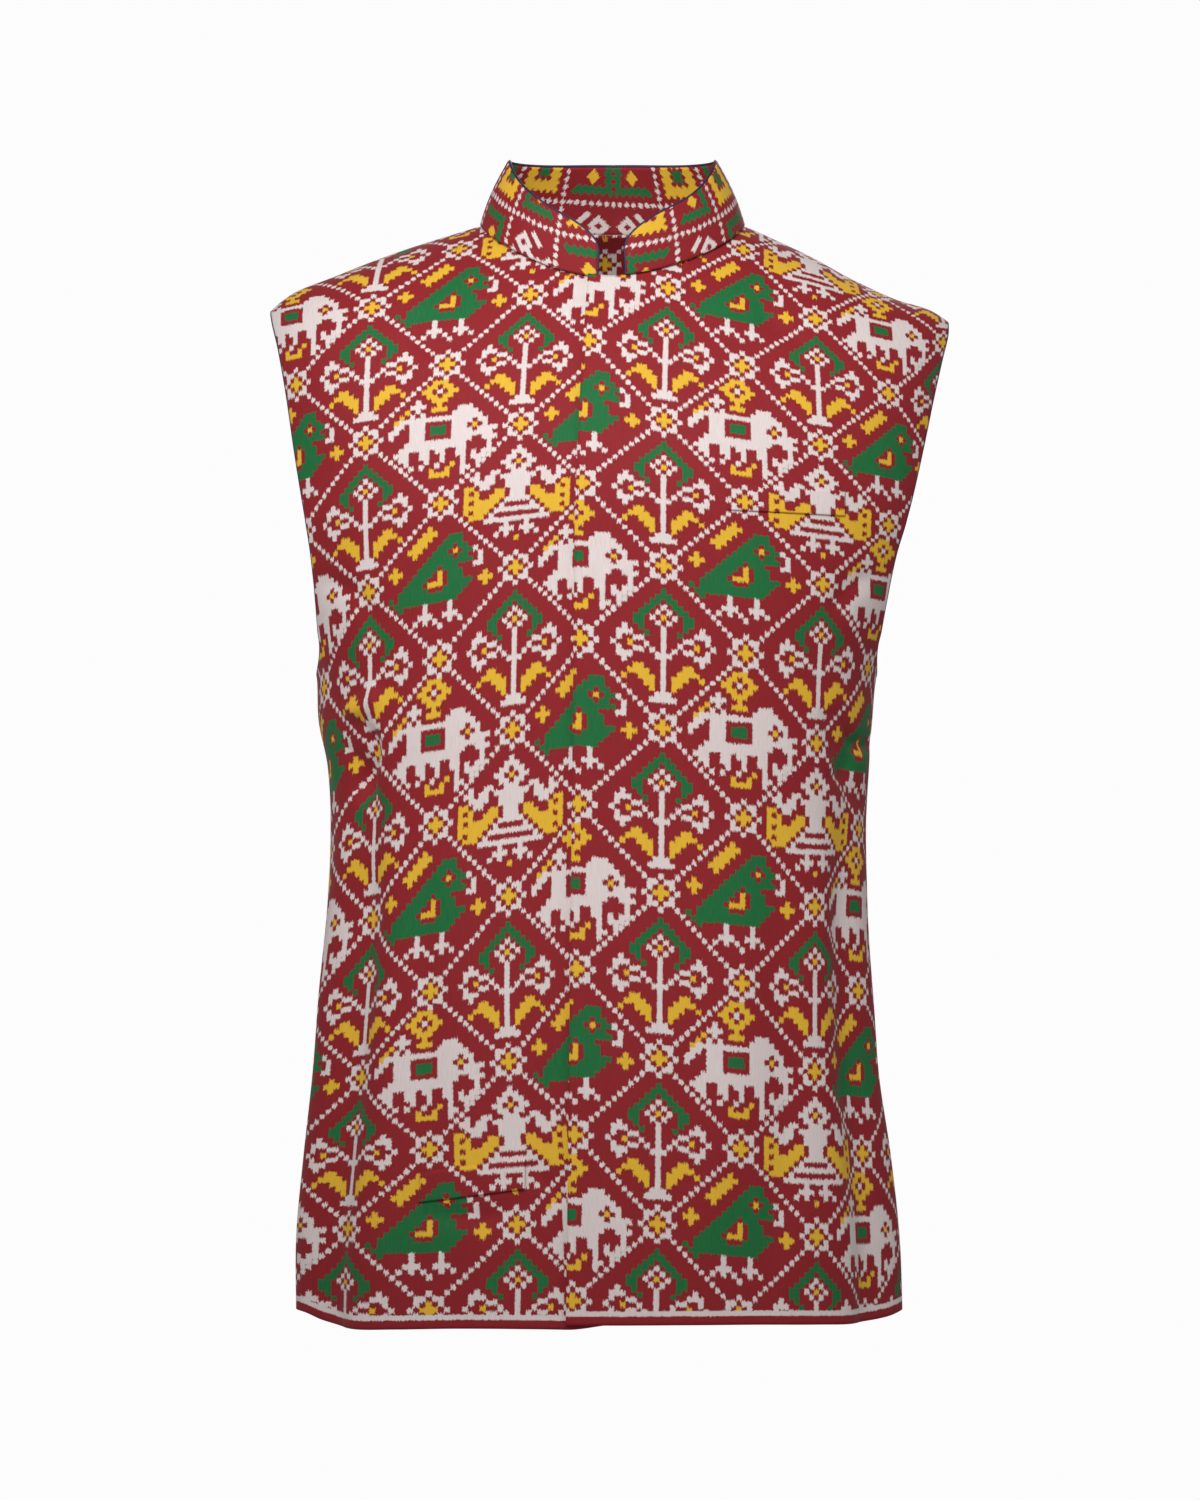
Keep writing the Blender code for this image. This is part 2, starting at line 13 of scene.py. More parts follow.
import bpy
import numpy as np
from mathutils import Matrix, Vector


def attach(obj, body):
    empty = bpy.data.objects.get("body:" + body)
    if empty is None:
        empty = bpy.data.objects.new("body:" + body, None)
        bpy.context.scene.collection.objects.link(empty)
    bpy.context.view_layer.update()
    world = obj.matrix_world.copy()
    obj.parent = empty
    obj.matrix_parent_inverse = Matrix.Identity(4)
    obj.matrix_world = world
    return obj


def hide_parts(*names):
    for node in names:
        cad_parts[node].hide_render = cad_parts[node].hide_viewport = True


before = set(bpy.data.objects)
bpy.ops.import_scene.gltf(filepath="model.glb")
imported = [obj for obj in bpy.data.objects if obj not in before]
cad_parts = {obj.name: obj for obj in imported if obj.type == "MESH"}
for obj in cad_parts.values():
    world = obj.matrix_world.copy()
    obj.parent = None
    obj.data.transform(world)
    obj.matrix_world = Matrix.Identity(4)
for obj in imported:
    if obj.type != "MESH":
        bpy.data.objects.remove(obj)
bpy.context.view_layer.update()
print("solids:", sorted(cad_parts))

# %% [markdown]
# ## Camera
#
# A shop photograph of a garment is taken level, from far enough away that the
# hem and the collar look equally large. A long lens 4 m away gives that. The
# picture is higher than it is wide, so the sensor's long side is the height.

# %% Camera
CAMERA_AWAY = 4.0
CAMERA_X = -0.0034
CAMERA_Z = -0.354
PICTURE_HIGH = 1.0125

lens = bpy.data.cameras.new("long_lens")
lens.sensor_width = 36.0
lens.lens = 36.0 * CAMERA_AWAY / PICTURE_HIGH
camera = bpy.data.objects.new("camera", lens)
camera.location = (CAMERA_X, -CAMERA_AWAY, CAMERA_Z)
camera.rotation_euler = (math.radians(90), 0, 0)
bpy.context.scene.collection.objects.link(camera)
bpy.context.scene.camera = camera
print(f"lens {lens.lens:.1f} mm, {CAMERA_AWAY} m away")

# %% [markdown]
# ## Studio
#
# The light in such a photograph is broad and soft. A large panel in front and a
# little above gives the bright chest, two dimmer ones at the sides keep the
# flanks readable, and a weak one behind draws the shoulders. The backdrop is
# white to the camera alone, so that it doesn't wash out the cloth's colour.

# %% Studio
SOFT_BOXES = {
    # name: (place, aimed at, width, height, watts, spread in degrees)
    "front_box": ((-0.3, -1.5, 0.62), (0, 0, -0.2), 0.9, 0.7, 2.75, 60),
    "left_box": ((2.2, -1.5, 0.5), (0, 0, -0.15), 1.2, 0.9, 10, 180),
    "right_box": ((-2.2, -1.5, 0.5), (0, 0, -0.15), 1.2, 0.9, 8, 180),
    "back_box": ((0.4, 2.6, 0.9), (0, 0, -0.3), 1.6, 1.4, 22, 180),
}
for name, (place, aim, wide, high, watts, spread_deg) in SOFT_BOXES.items():
    light = bpy.data.lights.new(name, "AREA")
    light.shape = "RECTANGLE"
    light.size, light.size_y, light.energy = wide, high, watts
    light.spread = math.radians(spread_deg)
    lamp = bpy.data.objects.new(name, light)
    lamp.location = place
    lamp.rotation_euler = (
        (Vector(aim) - Vector(place)).to_track_quat("-Z", "Y").to_euler()
    )
    bpy.context.scene.collection.objects.link(lamp)

world = bpy.data.worlds.new("white_studio")
bpy.context.scene.world = world
world.use_nodes = True
sky = world.node_tree
sky.nodes.clear()
seen = sky.nodes.new("ShaderNodeBackground")
seen.inputs["Color"].default_value = (0.985, 0.975, 0.98, 1)
around = sky.nodes.new("ShaderNodeBackground")
around.inputs["Color"].default_value = (1, 1, 1, 1)
around.inputs["Strength"].default_value = 0.17
ray = sky.nodes.new("ShaderNodeLightPath")
choose = sky.nodes.new("ShaderNodeMixShader")
out = sky.nodes.new("ShaderNodeOutputWorld")
sky.links.new(ray.outputs["Is Camera Ray"], choose.inputs["Fac"])
sky.links.new(around.outputs[0], choose.inputs[1])
sky.links.new(seen.outputs[0], choose.inputs[2])
sky.links.new(choose.outputs[0], out.inputs["Surface"])
bpy.context.scene.view_settings.view_transform = "Standard"

bpy.ops.mesh.primitive_circle_add(
    vertices=96, radius=1.6, fill_type="NGON", location=(0, 0, -1.45)
)
floor = bpy.context.object
floor.name = "pale_floor"
floor_paint = bpy.data.materials.new("pale_floor")
floor_paint.use_nodes = True
floor_paint.node_tree.nodes["Principled BSDF"].inputs["Base Color"].default_value = (
    0.86,
    0.85,
    0.855,
    1,
)
floor_paint.node_tree.nodes["Principled BSDF"].inputs["Roughness"].default_value = 0.9
floor.data.materials.append(floor_paint)
print("lights:", sorted(SOFT_BOXES))

# %% [markdown]
# ## The jacket's sizes
#
# The same short tables that shape the solids shape the cloth here, in
# millimetres. Heights fall from the neck points (0) to the hem. Round the body a
# place is told by its turn, from the wearer's left side seam (0 degrees) past the
# middle (90) to the right seam (180), and by its level: below the chest a height,
# and above it an angle that rises over the shoulder.

# %% Sizes in millimetres
CLOTH = 1.6
CHEST_Z = -200.0
MM_PER_RADIAN = 200.0
UNDERARM_DEG = -30.0
ROUND_SHARE = 0.2
SEAM_GAP = 0.3
PLAN_POWER = 2.4
NECK_X, NECK_HALF = 5.0, 87.0
LAP_WIDTH = 36.0
LAP_AIR = 1.0

LEVELS = {
    "z": (-760, -733, -680, -625, -570, -515, -460, -405, -365, -335, -300, -250, -200),
    "right": (206, 206, 206, 201, 195, 191, 187, 185, 187, 193, 195, 207, 222),
    "left": (198, 198, 196, 190, 182, 179, 177, 176, 178, 180, 184, 201, 220),
    "front": (130, 130, 129, 127, 125, 123, 122, 122, 124, 126, 128, 130, 131),
    "back": (125, 124, 122, 118, 112, 105, 99, 96, 97, 100, 105, 111, 115),
}
TOP_REACH = {"right": 234.0, "left": 240.0}
SHOULDER = {
    "out": (0, 45, 87, 110, 135, 160, 190, 213, 226, 240),
    "right": (16, 11, 0, -7, -15, -24, -36, -45, -54, -68),
    "left": (16, 11, 0, -10, -22, -36, -50, -57, -65, -78),
}
ARMHOLE = {
    "degrees": (-22, -15, -7, 0, 15, 30, 45, 60, 75, 90),
    "right": (191.5, 193, 195.5, 199, 206, 212, 218, 223, 225, 225),
    "left": (184, 188, 193.5, 200.5, 210, 218, 225, 230, 231, 231),
}
PLACKET = {
    "z": (-760, -680, -310, -240, -195, -110, -39, 0),
    "x": (-26.5, -25, -21, -20.3, -19.6, -16, -11.5, -9),
}
HEM = {
    "out": (0, 60, 100, 140, 170, 188, 200, 206),
    "right": (-733.5, -732.5, -733, -735, -736.5, -734, -730, -729),
    "left": (-730, -730, -730.5, -732, -733.5, -732, -729, -728),
}
BACK_HEM = -729.0

# Long folds: face, turn at the top and foot, depth, half width, top and foot.
FOLDS = (
    ("front", 155, 162, 11.0, 6.5, -345, -800),
    ("front", 159, 158, 4.0, 6.0, -300, -430),
    ("front", 21, 20, 9.0, 6.0, -350, -800),
    ("front", 30, 14, 4.0, 5.0, -330, -400),
    ("front", 171, 173, -3.0, 5.0, -420, -800),
    ("front", 8, 7, -3.0, 5.0, -450, -800),
    ("back", 26, 30, 8.0, 7.0, -380, -800),
    ("back", 152, 147, 9.0, 7.0, -360, -800),
    ("back", 70, 62, 4.0, 9.0, -520, -800),
    ("back", 118, 125, 4.5, 9.0, -480, -800),
)
print("levels:", len(LEVELS["z"]), "folds:", len(FOLDS))


# %% Reading a table smoothly
def read(table, column, at):
    """Smooth values between a table's rows, for one number or many."""
    keys = np.array(table[list(table)[0]], float)
    values = np.array(table[column], float)
    slopes = np.gradient(values, keys)
    middle = (values[2:] - values[:-2]) / (keys[2:] - keys[:-2])
    slopes[1:-1] = middle
    at = np.clip(at, keys[0], keys[-1])
    i = np.clip(np.searchsorted(keys, at, side="left"), 1, len(keys) - 1)
    span = keys[i] - keys[i - 1]
    part = (at - keys[i - 1]) / span
    a, b = values[i - 1], values[i]
    start, end = slopes[i - 1] * span, slopes[i] * span
    return (
        a
        + start * part
        + (3 * (b - a) - 2 * start - end) * part**2
        + (2 * (a - b) + start + end) * part**3
    )


def soft_step(low, high, value):
    part = np.clip((value - low) / (high - low), 0.0, 1.0)
    return part * part * (3 - 2 * part)


print("reach at the waist:", read(LEVELS, "right", -405.0), read(LEVELS, "left", -405.0))

# %% [markdown]
# ## The body form
#
# A worn jacket is close to a tube whose plan is a rounded oval, pulled in over
# the shoulders. One function turns a turn and a level into a point of the cloth,
# so every panel, seam, welt and crease is placed by the same rule. The creases
# are long soft troughs and ridges, each placed from its two ends: cloth
# that is worn seldom has the even waves that noise would give.

# %% Creases placed from their two ends
# Each row: face, ends as x and z in millimetres seen from the front, half width,
# and depth, where a negative depth is a ridge.
CREASES = (
    # the wearer's right waist: a bright ridge above a hollow
    ("front", -151, -316, -170, -332, 6, -4.2),
    ("front", -157, -341, -159, -385, 6, 7.5),
    ("front", -150, -392, -172, -352, 5, 2.6),
    # the wearer's left waist: a dimple with short diagonals
    ("front", 160, -345, 176, -352, 5, 3.6),
    ("front", 148, -374, 172, -352, 6, 2.4),
    ("front", 144, -330, 168, -343, 6, 1.8),
    # soft drag from the right neck point over the chest
    ("front", -130, -70, -108, -93, 7, 2.6),
    ("front", 104, -62, 128, -88, 8, 1.8),
    # long shallow waves of the skirt
    ("front", -120, -430, -128, -700, 14, 2.4),
    ("front", -80, -520, -86, -720, 16, -1.6),
    ("front", 118, -440, 112, -700, 15, 2.4),
    ("front", 76, -540, 70, -720, 16, -1.6),
    # below and beside the hip pocket
    ("front", -49, -628, -24, -648, 4, 1.9),
    ("front", -118, -662, -60, -655, 7, 2.0),
    # drag lines that run from the armholes' feet
    ("front", -183, -240, -150, -268, 7, 2.2),
    ("front", 178, -236, 148, -262, 7, 2.2),
    # the back: two drags from the shoulder blades and a soft hollow at the waist
    ("back", -150, -120, -95, -185, 14, 2.8),
    ("back", 152, -120, 98, -188, 14, 2.8),
    ("back", -60, -360, 60, -366, 26, 3.4),
    ("back", -120, -330, -60, -352, 10, 2.6),
    ("back", 124, -326, 66, -350, 10, 2.7),
    ("back", -30, -430, -36, -700, 16, 2.2),
    ("back", 38, -450, 46, -710, 17, -2.0),
)
print("creases:", len(CREASES))


def crease_depth(face, x, z):
    """How far the creases push the cloth in at each x and z."""
    total = np.zeros(np.broadcast(x, z).shape)
    for on, x0, z0, x1, z1, half, deep in CREASES:
        if on != face:
            continue
        run = np.array([x1 - x0, z1 - z0], float)
        length = np.hypot(*run)
        across = (x - x0) * -run[1] / length + (z - z0) * run[0] / length
        along = ((x - x0) * run[0] + (z - z0) * run[1]) / length**2
        ends = soft_step(-0.25, 0.25, along) * soft_step(-0.25, 0.25, 1 - along)
        # A crease wanders a little, as cloth does.
        wander = 0.35 * half * np.sin(along * 5.1 + x0)
        total += deep * ends * np.exp(-(((across - wander) / half) ** 2))
    return total


# %% The point of the cloth at a turn and a level
def height_of(level):
    return CHEST_Z + level * MM_PER_RADIAN


def reach(side, level):
    low = read(LEVELS, side, height_of(np.minimum(level, 0)))
    chest = read(LEVELS, side, CHEST_Z)
    high = chest + (TOP_REACH[side] - chest) * np.sin(np.maximum(level, 0))
    return np.where(level > 0, high, low)


def shoulder_line(x):
    left = read(SHOULDER, "left", np.abs(x - NECK_X))
    right = read(SHOULDER, "right", np.abs(x - NECK_X))
    return np.where(x > NECK_X, left, right)


def shoulder_power(x):
    return 1.8 + 0.6 * soft_step(90, 215, np.abs(x - NECK_X))


def fold_depth(face, turn, level):
    z, degrees = height_of(level), np.degrees(turn)
    total = np.zeros(np.broadcast(turn, level).shape)
    for on, top, foot, deep, half, top_z, foot_z in FOLDS:
        if on != face:
            continue
        along = (top_z - z) / (top_z - foot_z)
        fade = soft_step(0, 0.3, along)
        if foot_z > -750:
            fade = fade * soft_step(0, 0.3, 1 - along)
        fade = np.where((along <= 0) | (along >= 1), 0, fade)
        spread = (degrees - top - (foot - top) * along) / half
        total += deep * fade * np.exp(-spread * spread)
    return total


def smooth_body(face, turn, level):
    """The cloth's outer face in millimetres, with its long folds."""
    across, along = np.cos(turn), np.sin(turn)
    wide = np.where(across > 0, reach("left", level), reach("right", level))
    deep = read(LEVELS, face, height_of(np.minimum(level, 0)))
    radius = (np.abs(across) / wide) ** PLAN_POWER + (np.abs(along) / deep) ** PLAN_POWER
    radius = radius ** (-1 / PLAN_POWER)
    radius = radius - np.where(level < 0, fold_depth(face, turn, level), 0)
    x, y = radius * across, np.maximum(radius * along, 0)
    above = np.maximum(level, 0)
    c, s = np.maximum(np.cos(above), 0), np.sin(above)
    power = shoulder_power(x)
    rho = (c**power + s**power) ** (-1 / power)
    high = CHEST_Z + (shoulder_line(x) - CHEST_Z) * rho * s
    z = np.where(level > 0, high, height_of(level))
    y = np.where(level > 0, y * rho * c, y)
    return np.stack([x, -y if face == "front" else y, z + 0 * x], axis=-1)


def outward(face, turn, level):
    """The way out of the cloth, from two short steps over the smooth body."""
    step = 0.01
    top = math.pi / 2
    low, high = np.minimum(level, top) - step, np.minimum(level + step, top)
    left, right = np.maximum(turn - step, 0), np.minimum(turn + step, math.pi)
    across = smooth_body(face, right, level) - smooth_body(face, left, level)
    up = smooth_body(face, turn, high) - smooth_body(face, turn, low)
    way = np.cross(up, across) if face == "front" else np.cross(across, up)
    flat = np.abs(smooth_body(face, turn, level)[..., 1]) < SEAM_GAP
    way[..., 1] = np.where(flat, 0, way[..., 1])
    return way / np.linalg.norm(way, axis=-1, keepdims=True)


def cloth_point(face, turn, level, push=0.0):
    """The cloth with its creases, moved in by push; and its way out."""
    point = smooth_body(face, turn, level)
    way = outward(face, turn, level)
    near_seam = soft_step(0, 6, np.abs(point[..., 1]))
    deep = crease_depth(face, point[..., 0], point[..., 2]) * near_seam + push
    return point - way * np.asarray(deep)[..., None], way


waist = smooth_body("front", np.radians([90.0]), np.array([-1.0]))
print("a point of the waist, in mm:", waist.round(1))


# %% Seam lines round the neck and the armholes
def locate(face, x, z):
    """The turn and level of the cloth at this x and z."""
    x, z = np.broadcast_arrays(np.asarray(x, float), np.asarray(z, float))
    power = shoulder_power(x)
    t = np.clip((z - CHEST_Z) / (shoulder_line(x) - CHEST_Z), 0, 1)
    above = np.arctan2(t, (1 - t**power) ** (1 / power))
    level = np.where(z <= CHEST_Z, (z - CHEST_Z) / MM_PER_RADIAN, above)
    wide = np.where(x > 0, reach("left", level), reach("right", level))
    share = np.minimum(np.abs(x) / wide, 1)
    deep = read(LEVELS, face, height_of(np.minimum(level, 0)))
    along = deep * (1 - share**PLAN_POWER) ** (1 / PLAN_POWER)
    turn = np.arctan2(along, wide * share)
    return np.where(x > 0, turn, math.pi - turn), level


def neckline(face, side, degrees):
    """The neck seam: 0 degrees is the neck point and 90 the middle."""
    c, s = np.abs(np.cos(np.radians(degrees))), np.abs(np.sin(np.radians(degrees)))
    power, drop = (1.6, 40.0) if face == "front" else (2.0, 3.0)
    rho = (c**power + s**power) ** (-1 / power)
    sign = np.where(degrees > 90, -1, 1) * (1 if side == "left" else -1)
    return locate(face, NECK_X + sign * NECK_HALF * rho * c, -drop * rho * s)


def turn_for(face, side, x, level):
    wide = reach(side, level)
    share = np.minimum(x / wide, 1)
    deep = read(LEVELS, face, height_of(np.minimum(level, 0)))
    along = deep * (1 - share**PLAN_POWER) ** (1 / PLAN_POWER)
    return np.arctan2(along, wide * share)


def armhole(face, side, part):
    """The armhole's edge: part 0 is the underarm and 1 the shoulder."""
    first = ARMHOLE["degrees"][0]
    swing = np.minimum(part / ROUND_SHARE, 1) * math.pi / 2
    low = UNDERARM_DEG + (first - UNDERARM_DEG) * (1 - np.cos(swing))
    high = first + (90 - first) * (part - ROUND_SHARE) / (1 - ROUND_SHARE)
    degrees = np.where(part < ROUND_SHARE, low, high)
    level = np.radians(degrees)
    corner = turn_for(face, side, ARMHOLE[side][0], np.radians(float(first)))
    edge = read(ARMHOLE, side, np.maximum(degrees, first))
    turn = np.where(
        part < ROUND_SHARE, corner * np.sin(swing), turn_for(face, side, edge, level)
    )
    return (turn if side == "left" else math.pi - turn), level


def evenly_run(face, turns, levels):
    """A function of 0 to 1 that runs along a seam at an even pace."""
    points = smooth_body(face, turns, levels)
    steps = np.linalg.norm(np.diff(points, axis=0), axis=1)
    lengths = np.concatenate([[0], np.cumsum(steps)]) / steps.sum()
    return lambda part: (
        np.interp(part, lengths, turns),
        np.interp(part, lengths, levels),
    )


PARTS = np.linspace(0, 1, 401)
arm_seams = {
    (face, side): evenly_run(face, *armhole(face, side, PARTS))
    for face in ("front", "back")
    for side in ("right", "left")
}
print("armhole seams:", sorted(arm_seams))

# %% [markdown]
# ## Where the weave lies on the cloth
#
# The pattern is woven before the jacket is cut, so it must neither stretch nor
# follow the mesh. Each panel carries a UV map in woven cells, measured along the
# cloth itself: across from the panel's front edge, and down from the chest. The
# lengths are summed on a fine lattice of the smooth body, and every point of a
# panel reads its own. Inside a fold the same length of cloth takes less room in
# the picture, so the motifs crowd together there as they do on real cloth.

# %% Lengths along the cloth
CELL_WIDE = 3.229
CELL_HIGH = 3.696


def placket_x(z):
    return read(PLACKET, "x", z)


class ClothLengths:
    """Lengths over one face of the body, across and up, in millimetres."""

    def __init__(self, face):
        self.turns = np.linspace(0, math.pi, 721)
        self.levels = np.linspace(-2.78, math.pi / 2, 521)
        turn, level = np.meshgrid(self.turns, self.levels)
        points = smooth_body(face, turn, level)
        across = np.linalg.norm(np.diff(points, axis=1), axis=-1)
        up = np.linalg.norm(np.diff(points, axis=0), axis=-1)
        self.across = np.pad(np.cumsum(across, axis=1), ((0, 0), (1, 0)))
        self.up = np.pad(np.cumsum(up, axis=0), ((1, 0), (0, 0)))
        chest = np.argmin(np.abs(self.levels))
        self.up -= self.up[chest]

    def at(self, turn, level):
        """(across, up) at each turn and level."""
        column = np.clip(turn / self.turns[1], 0, len(self.turns) - 1.001)
        row = (level - self.levels[0]) / (self.levels[1] - self.levels[0])
        row = np.clip(row, 0, len(self.levels) - 1.001)
        i, j = column.astype(int), row.astype(int)
        a, b = column - i, row - j
        found = []
        for grid in (self.across, self.up):
            low = grid[j, i] * (1 - a) + grid[j, i + 1] * a
            high = grid[j + 1, i] * (1 - a) + grid[j + 1, i + 1] * a
            found.append(low * (1 - b) + high * b)
        return found


lengths = {face: ClothLengths(face) for face in ("front", "back")}

# Where a panel's cut begins in the woven repeat: the cell at its reference line
# and the cell at the chest.
CUTS = {
    "left": {"across": 41.8, "down": -23.1},
    "right": {"across": 41.4, "down": -23.1},
    "back": {"across": 30.0, "down": -23.1},
}

# Cloth is never cut or hung quite true, so each front's weave also drifts. The
# amounts are given in cells. Across: a start, an even spread towards the side, a
# growing one, more of it towards the hem, a shift of the hem's inner end and a lean
# at the shoulder.
# Down: a start, slack from the chest to the hem, a rise at the neck, a sag towards
# the side, more sag at the shoulder and less of it at the hem.
HANG = {
    "left": {
        "across": (2.1, -6.3, 0.0, 0.0, 0.0, 4.5),
        "down": (1.4, 2.6, 5.3, 4.8, 6.5, 0.0),
    },
    "right": {
        "across": (1.2, -1.0, 3.9, 6.0, 4.5, 1.5),
        "down": (1.3, 1.5, 9.8, 8.0, -4.0, 5.0),
    },
}
FRONT_CELLS = 53.6
HEM_CELLS = 107.0
RIGHT_TILT, RIGHT_TILT_FROM = 0.012, 45


def drift(panel, out, down):
    """How far a front's weave has moved at a place, across and down, in cells.

    out runs from 0 at the placket to 1 near the side, and down from 0 at a hand's
    breadth under the chest line to 1 near the hem, and below 0 above it.
    """
    out = np.clip(out, 0, 1.35)
    down = np.clip(down, -0.85, 1.15)
    high = soft_step(0, 0.7, -down)
    low = soft_step(0, 1.1, down)
    foot = soft_step(0.5, 1.1, down)
    begin, even, growing, growing_low, inner_foot, lean = HANG[panel]["across"]
    across = begin + even * out + (growing + growing_low * low) * out**2
    across = across - inner_foot * (1 - out) * foot + lean * out * high
    begin, slack, neck_rise, side_sag, shoulder_sag, foot_lift = HANG[panel]["down"]
    below = begin + slack * down - neck_rise * high - side_sag * out**1.2
    below = below - shoulder_sag * out * high + foot_lift * out * foot
    return across, below


def woven_cells(panel, turn, level):
    """The woven cell, across and down, that lies at each place of a panel."""
    face = "back" if panel == "back" else "front"
    cut = CUTS[panel]
    across, up = lengths[face].at(turn, level)
    down = cut["down"] - up / CELL_HIGH
    if face == "back":
        middle, _ = lengths[face].at(np.full(np.shape(turn), math.pi / 2), level)
        return (across - middle) / CELL_WIDE + cut["across"], down
    z = smooth_body(face, turn, level)[..., 2]
    edge_turn, _ = locate(face, placket_x(z), z)
    edge, _ = lengths[face].at(edge_turn, level)
    from_edge = (edge - across) / CELL_WIDE
    side = 1 if panel == "left" else -1
    if panel == "right":
        from_edge = from_edge + RIGHT_TILT * (down - RIGHT_TILT_FROM)
    moved = drift(panel, from_edge * side / FRONT_CELLS, down / HEM_CELLS)
    return from_edge + cut["across"] + moved[0], down + moved[1]


half_round = lengths["front"].at(np.array([math.pi]), np.array([-1.0]))[0][0]
print(f"front of the waist, side to side along the cloth: {half_round:.0f} mm")

# %% [markdown]
# ## Cloth from a grid
#
# Every panel is a grid of points between its seams, turned into one mesh. Two UV
# maps go with it: "weave" holds the woven cells, and "edge" holds the distance
# from the hem in millimetres. A Solidify modifier then gives the shell the
# thickness of the cloth, inwards, so the outer face stays where the grid puts it.


# %% A shell from a grid of points
def shell(name, points, weave, from_edge, thick, replaced):
    """A piece of cloth from rows of points in millimetres that face outwards."""
    rows, columns = points.shape[:2]
    index = np.arange(rows * columns).reshape(rows, columns)
    faces = np.stack(
        [index[:-1, :-1], index[:-1, 1:], index[1:, 1:], index[1:, :-1]], axis=-1
    ).reshape(-1, 4)
    mesh = bpy.data.meshes.new(name)
    mesh.from_pydata((points * 0.001).reshape(-1, 3).tolist(), [], faces.tolist())
    corner = faces.reshape(-1)
    for title, pair in (("weave", weave), ("edge", from_edge)):
        layer = mesh.uv_layers.new(name=title)
        flat = np.stack([np.ravel(pair[0])[corner], np.ravel(pair[1])[corner]], axis=-1)
        layer.uv.foreach_set("vector", flat.astype(np.float32).ravel())
    mesh.shade_smooth()
    piece = bpy.data.objects.new(name, mesh)
    bpy.context.scene.collection.objects.link(piece)
    if thick:
        solid = piece.modifiers.new("thickness", "SOLIDIFY")
        solid.thickness = thick * 0.001
        solid.offset = -1
        solid.use_even_offset = True
    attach(piece, "root")
    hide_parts(*replaced)
    print(f"{name}: {len(faces)} quads")
    return piece


# %% [markdown]
# ## The fronts
#
# A front is bounded by its free edge, the neck seam, the shoulder seam, the
# armhole, the side seam and the hem. Below the underarm its grid is ruled
# straight across. Above it the neck and armhole bend the grid's two sides, and
# the bend fades towards the middle. The right front sinks where the left one laps
# over it, so both stay clear of each other.

# %% Grid of a front
FRONT_COLUMNS, LOW_ROWS, HIGH_ROWS = 132, 170, 130
NECK_SHARE, FRONT_SPREAD = 10 / 22, 0.6
underarm = math.radians(UNDERARM_DEG)


LAP_HEM_RISE = 4.5


def hem_level(panel, x):
    """The hem's level; the lap behind the left front rises to its free edge."""
    z = BACK_HEM + 0 * x if panel == "back" else read(HEM, panel, np.abs(x))
    if panel == "right":
        z = z + LAP_HEM_RISE * soft_step(-26, 12, x)
    return (z - CHEST_Z) / MM_PER_RADIAN


def lap_push(x):
    return (1.8 + LAP_AIR) * soft_step(-64, -32, x)


def front_edge(side, z):
    x = placket_x(z) + (LAP_WIDTH if side == "right" else 0)
    return locate("front", x, z)


def spread(u, corner, share):
    return np.where(
        u <= corner, share * u / corner, share + (1 - share) * (u - corner) / (1 - corner)
    )


def front_places(side):
    """Turns and levels of a front's grid, from the hem up and the edge outwards."""
    u = np.linspace(0, 1, FRONT_COLUMNS + 1)[None, :]
    share = spread(u, NECK_SHARE, FRONT_SPREAD)
    side_turn = 0.0 if side == "left" else math.pi

    low = np.linspace(0, 1, LOW_ROWS + 1)[:, None]
    edge_turn, _ = front_edge(side, -732 + (height_of(underarm) + 732) * low)
    turn = edge_turn + (side_turn - edge_turn) * share
    hem = hem_level(side, smooth_body("front", turn, np.full(turn.shape, -2.6))[..., 0])
    level = hem + (underarm - hem) * low

    high = np.linspace(0, 1, HIGH_ROWS + 1)[1:, None]
    start_turn, _ = front_edge(side, height_of(underarm))
    degrees = np.linspace(30.0, 150.0, 2401)
    neck_x = smooth_body("front", *neckline("front", side, degrees))[:, 0]
    wanted = placket_x(-39.0) + (LAP_WIDTH if side == "right" else 0)
    corner_at = degrees[np.argmin(np.abs(neck_x - wanted))]
    neck = evenly_run("front", *neckline("front", side, corner_at * (1 - PARTS)))
    corner = [float(value) for value in neck(0.0)]
    corner_z = smooth_body("front", np.array(corner[0]), np.array(corner[1]))[2]
    neck_turn = float(neckline("front", side, np.array(0.0))[0])
    tip_turn = float(arm_seams["front", side](1.0)[0])

    past = np.clip((u - NECK_SHARE) / (1 - NECK_SHARE), 0, 1)
    along_neck = neck(np.clip(u / NECK_SHARE, 0, 1))
    top_turn = np.where(
        u <= NECK_SHARE, along_neck[0], neck_turn + (tip_turn - neck_turn) * past
    )
    top_level = np.where(u <= NECK_SHARE, along_neck[1], math.pi / 2)
    inner_z = height_of(underarm) + (corner_z - height_of(underarm)) * high
    inner = front_edge(side, inner_z)
    outer = arm_seams["front", side](high)
    straight_turn = start_turn + (side_turn - start_turn) * share
    up_turn = straight_turn + (top_turn - straight_turn) * high
    up_turn = up_turn + (inner[0] - start_turn - (corner[0] - start_turn) * high) * (
        (1 - u) ** 3
    )
    up_turn = up_turn + (outer[0] - side_turn - (tip_turn - side_turn) * high) * u**2
    up_level = underarm + (top_level - underarm) * high
    up_level = up_level + (inner[1] - underarm - (corner[1] - underarm) * high) * (
        (1 - u) ** 3
    )
    up_level = up_level + (outer[1] - underarm - (math.pi / 2 - underarm) * high) * u**2
    turn = np.concatenate([turn, up_turn])
    level = np.minimum(np.concatenate([level, up_level]), math.pi / 2)
    return turn, level


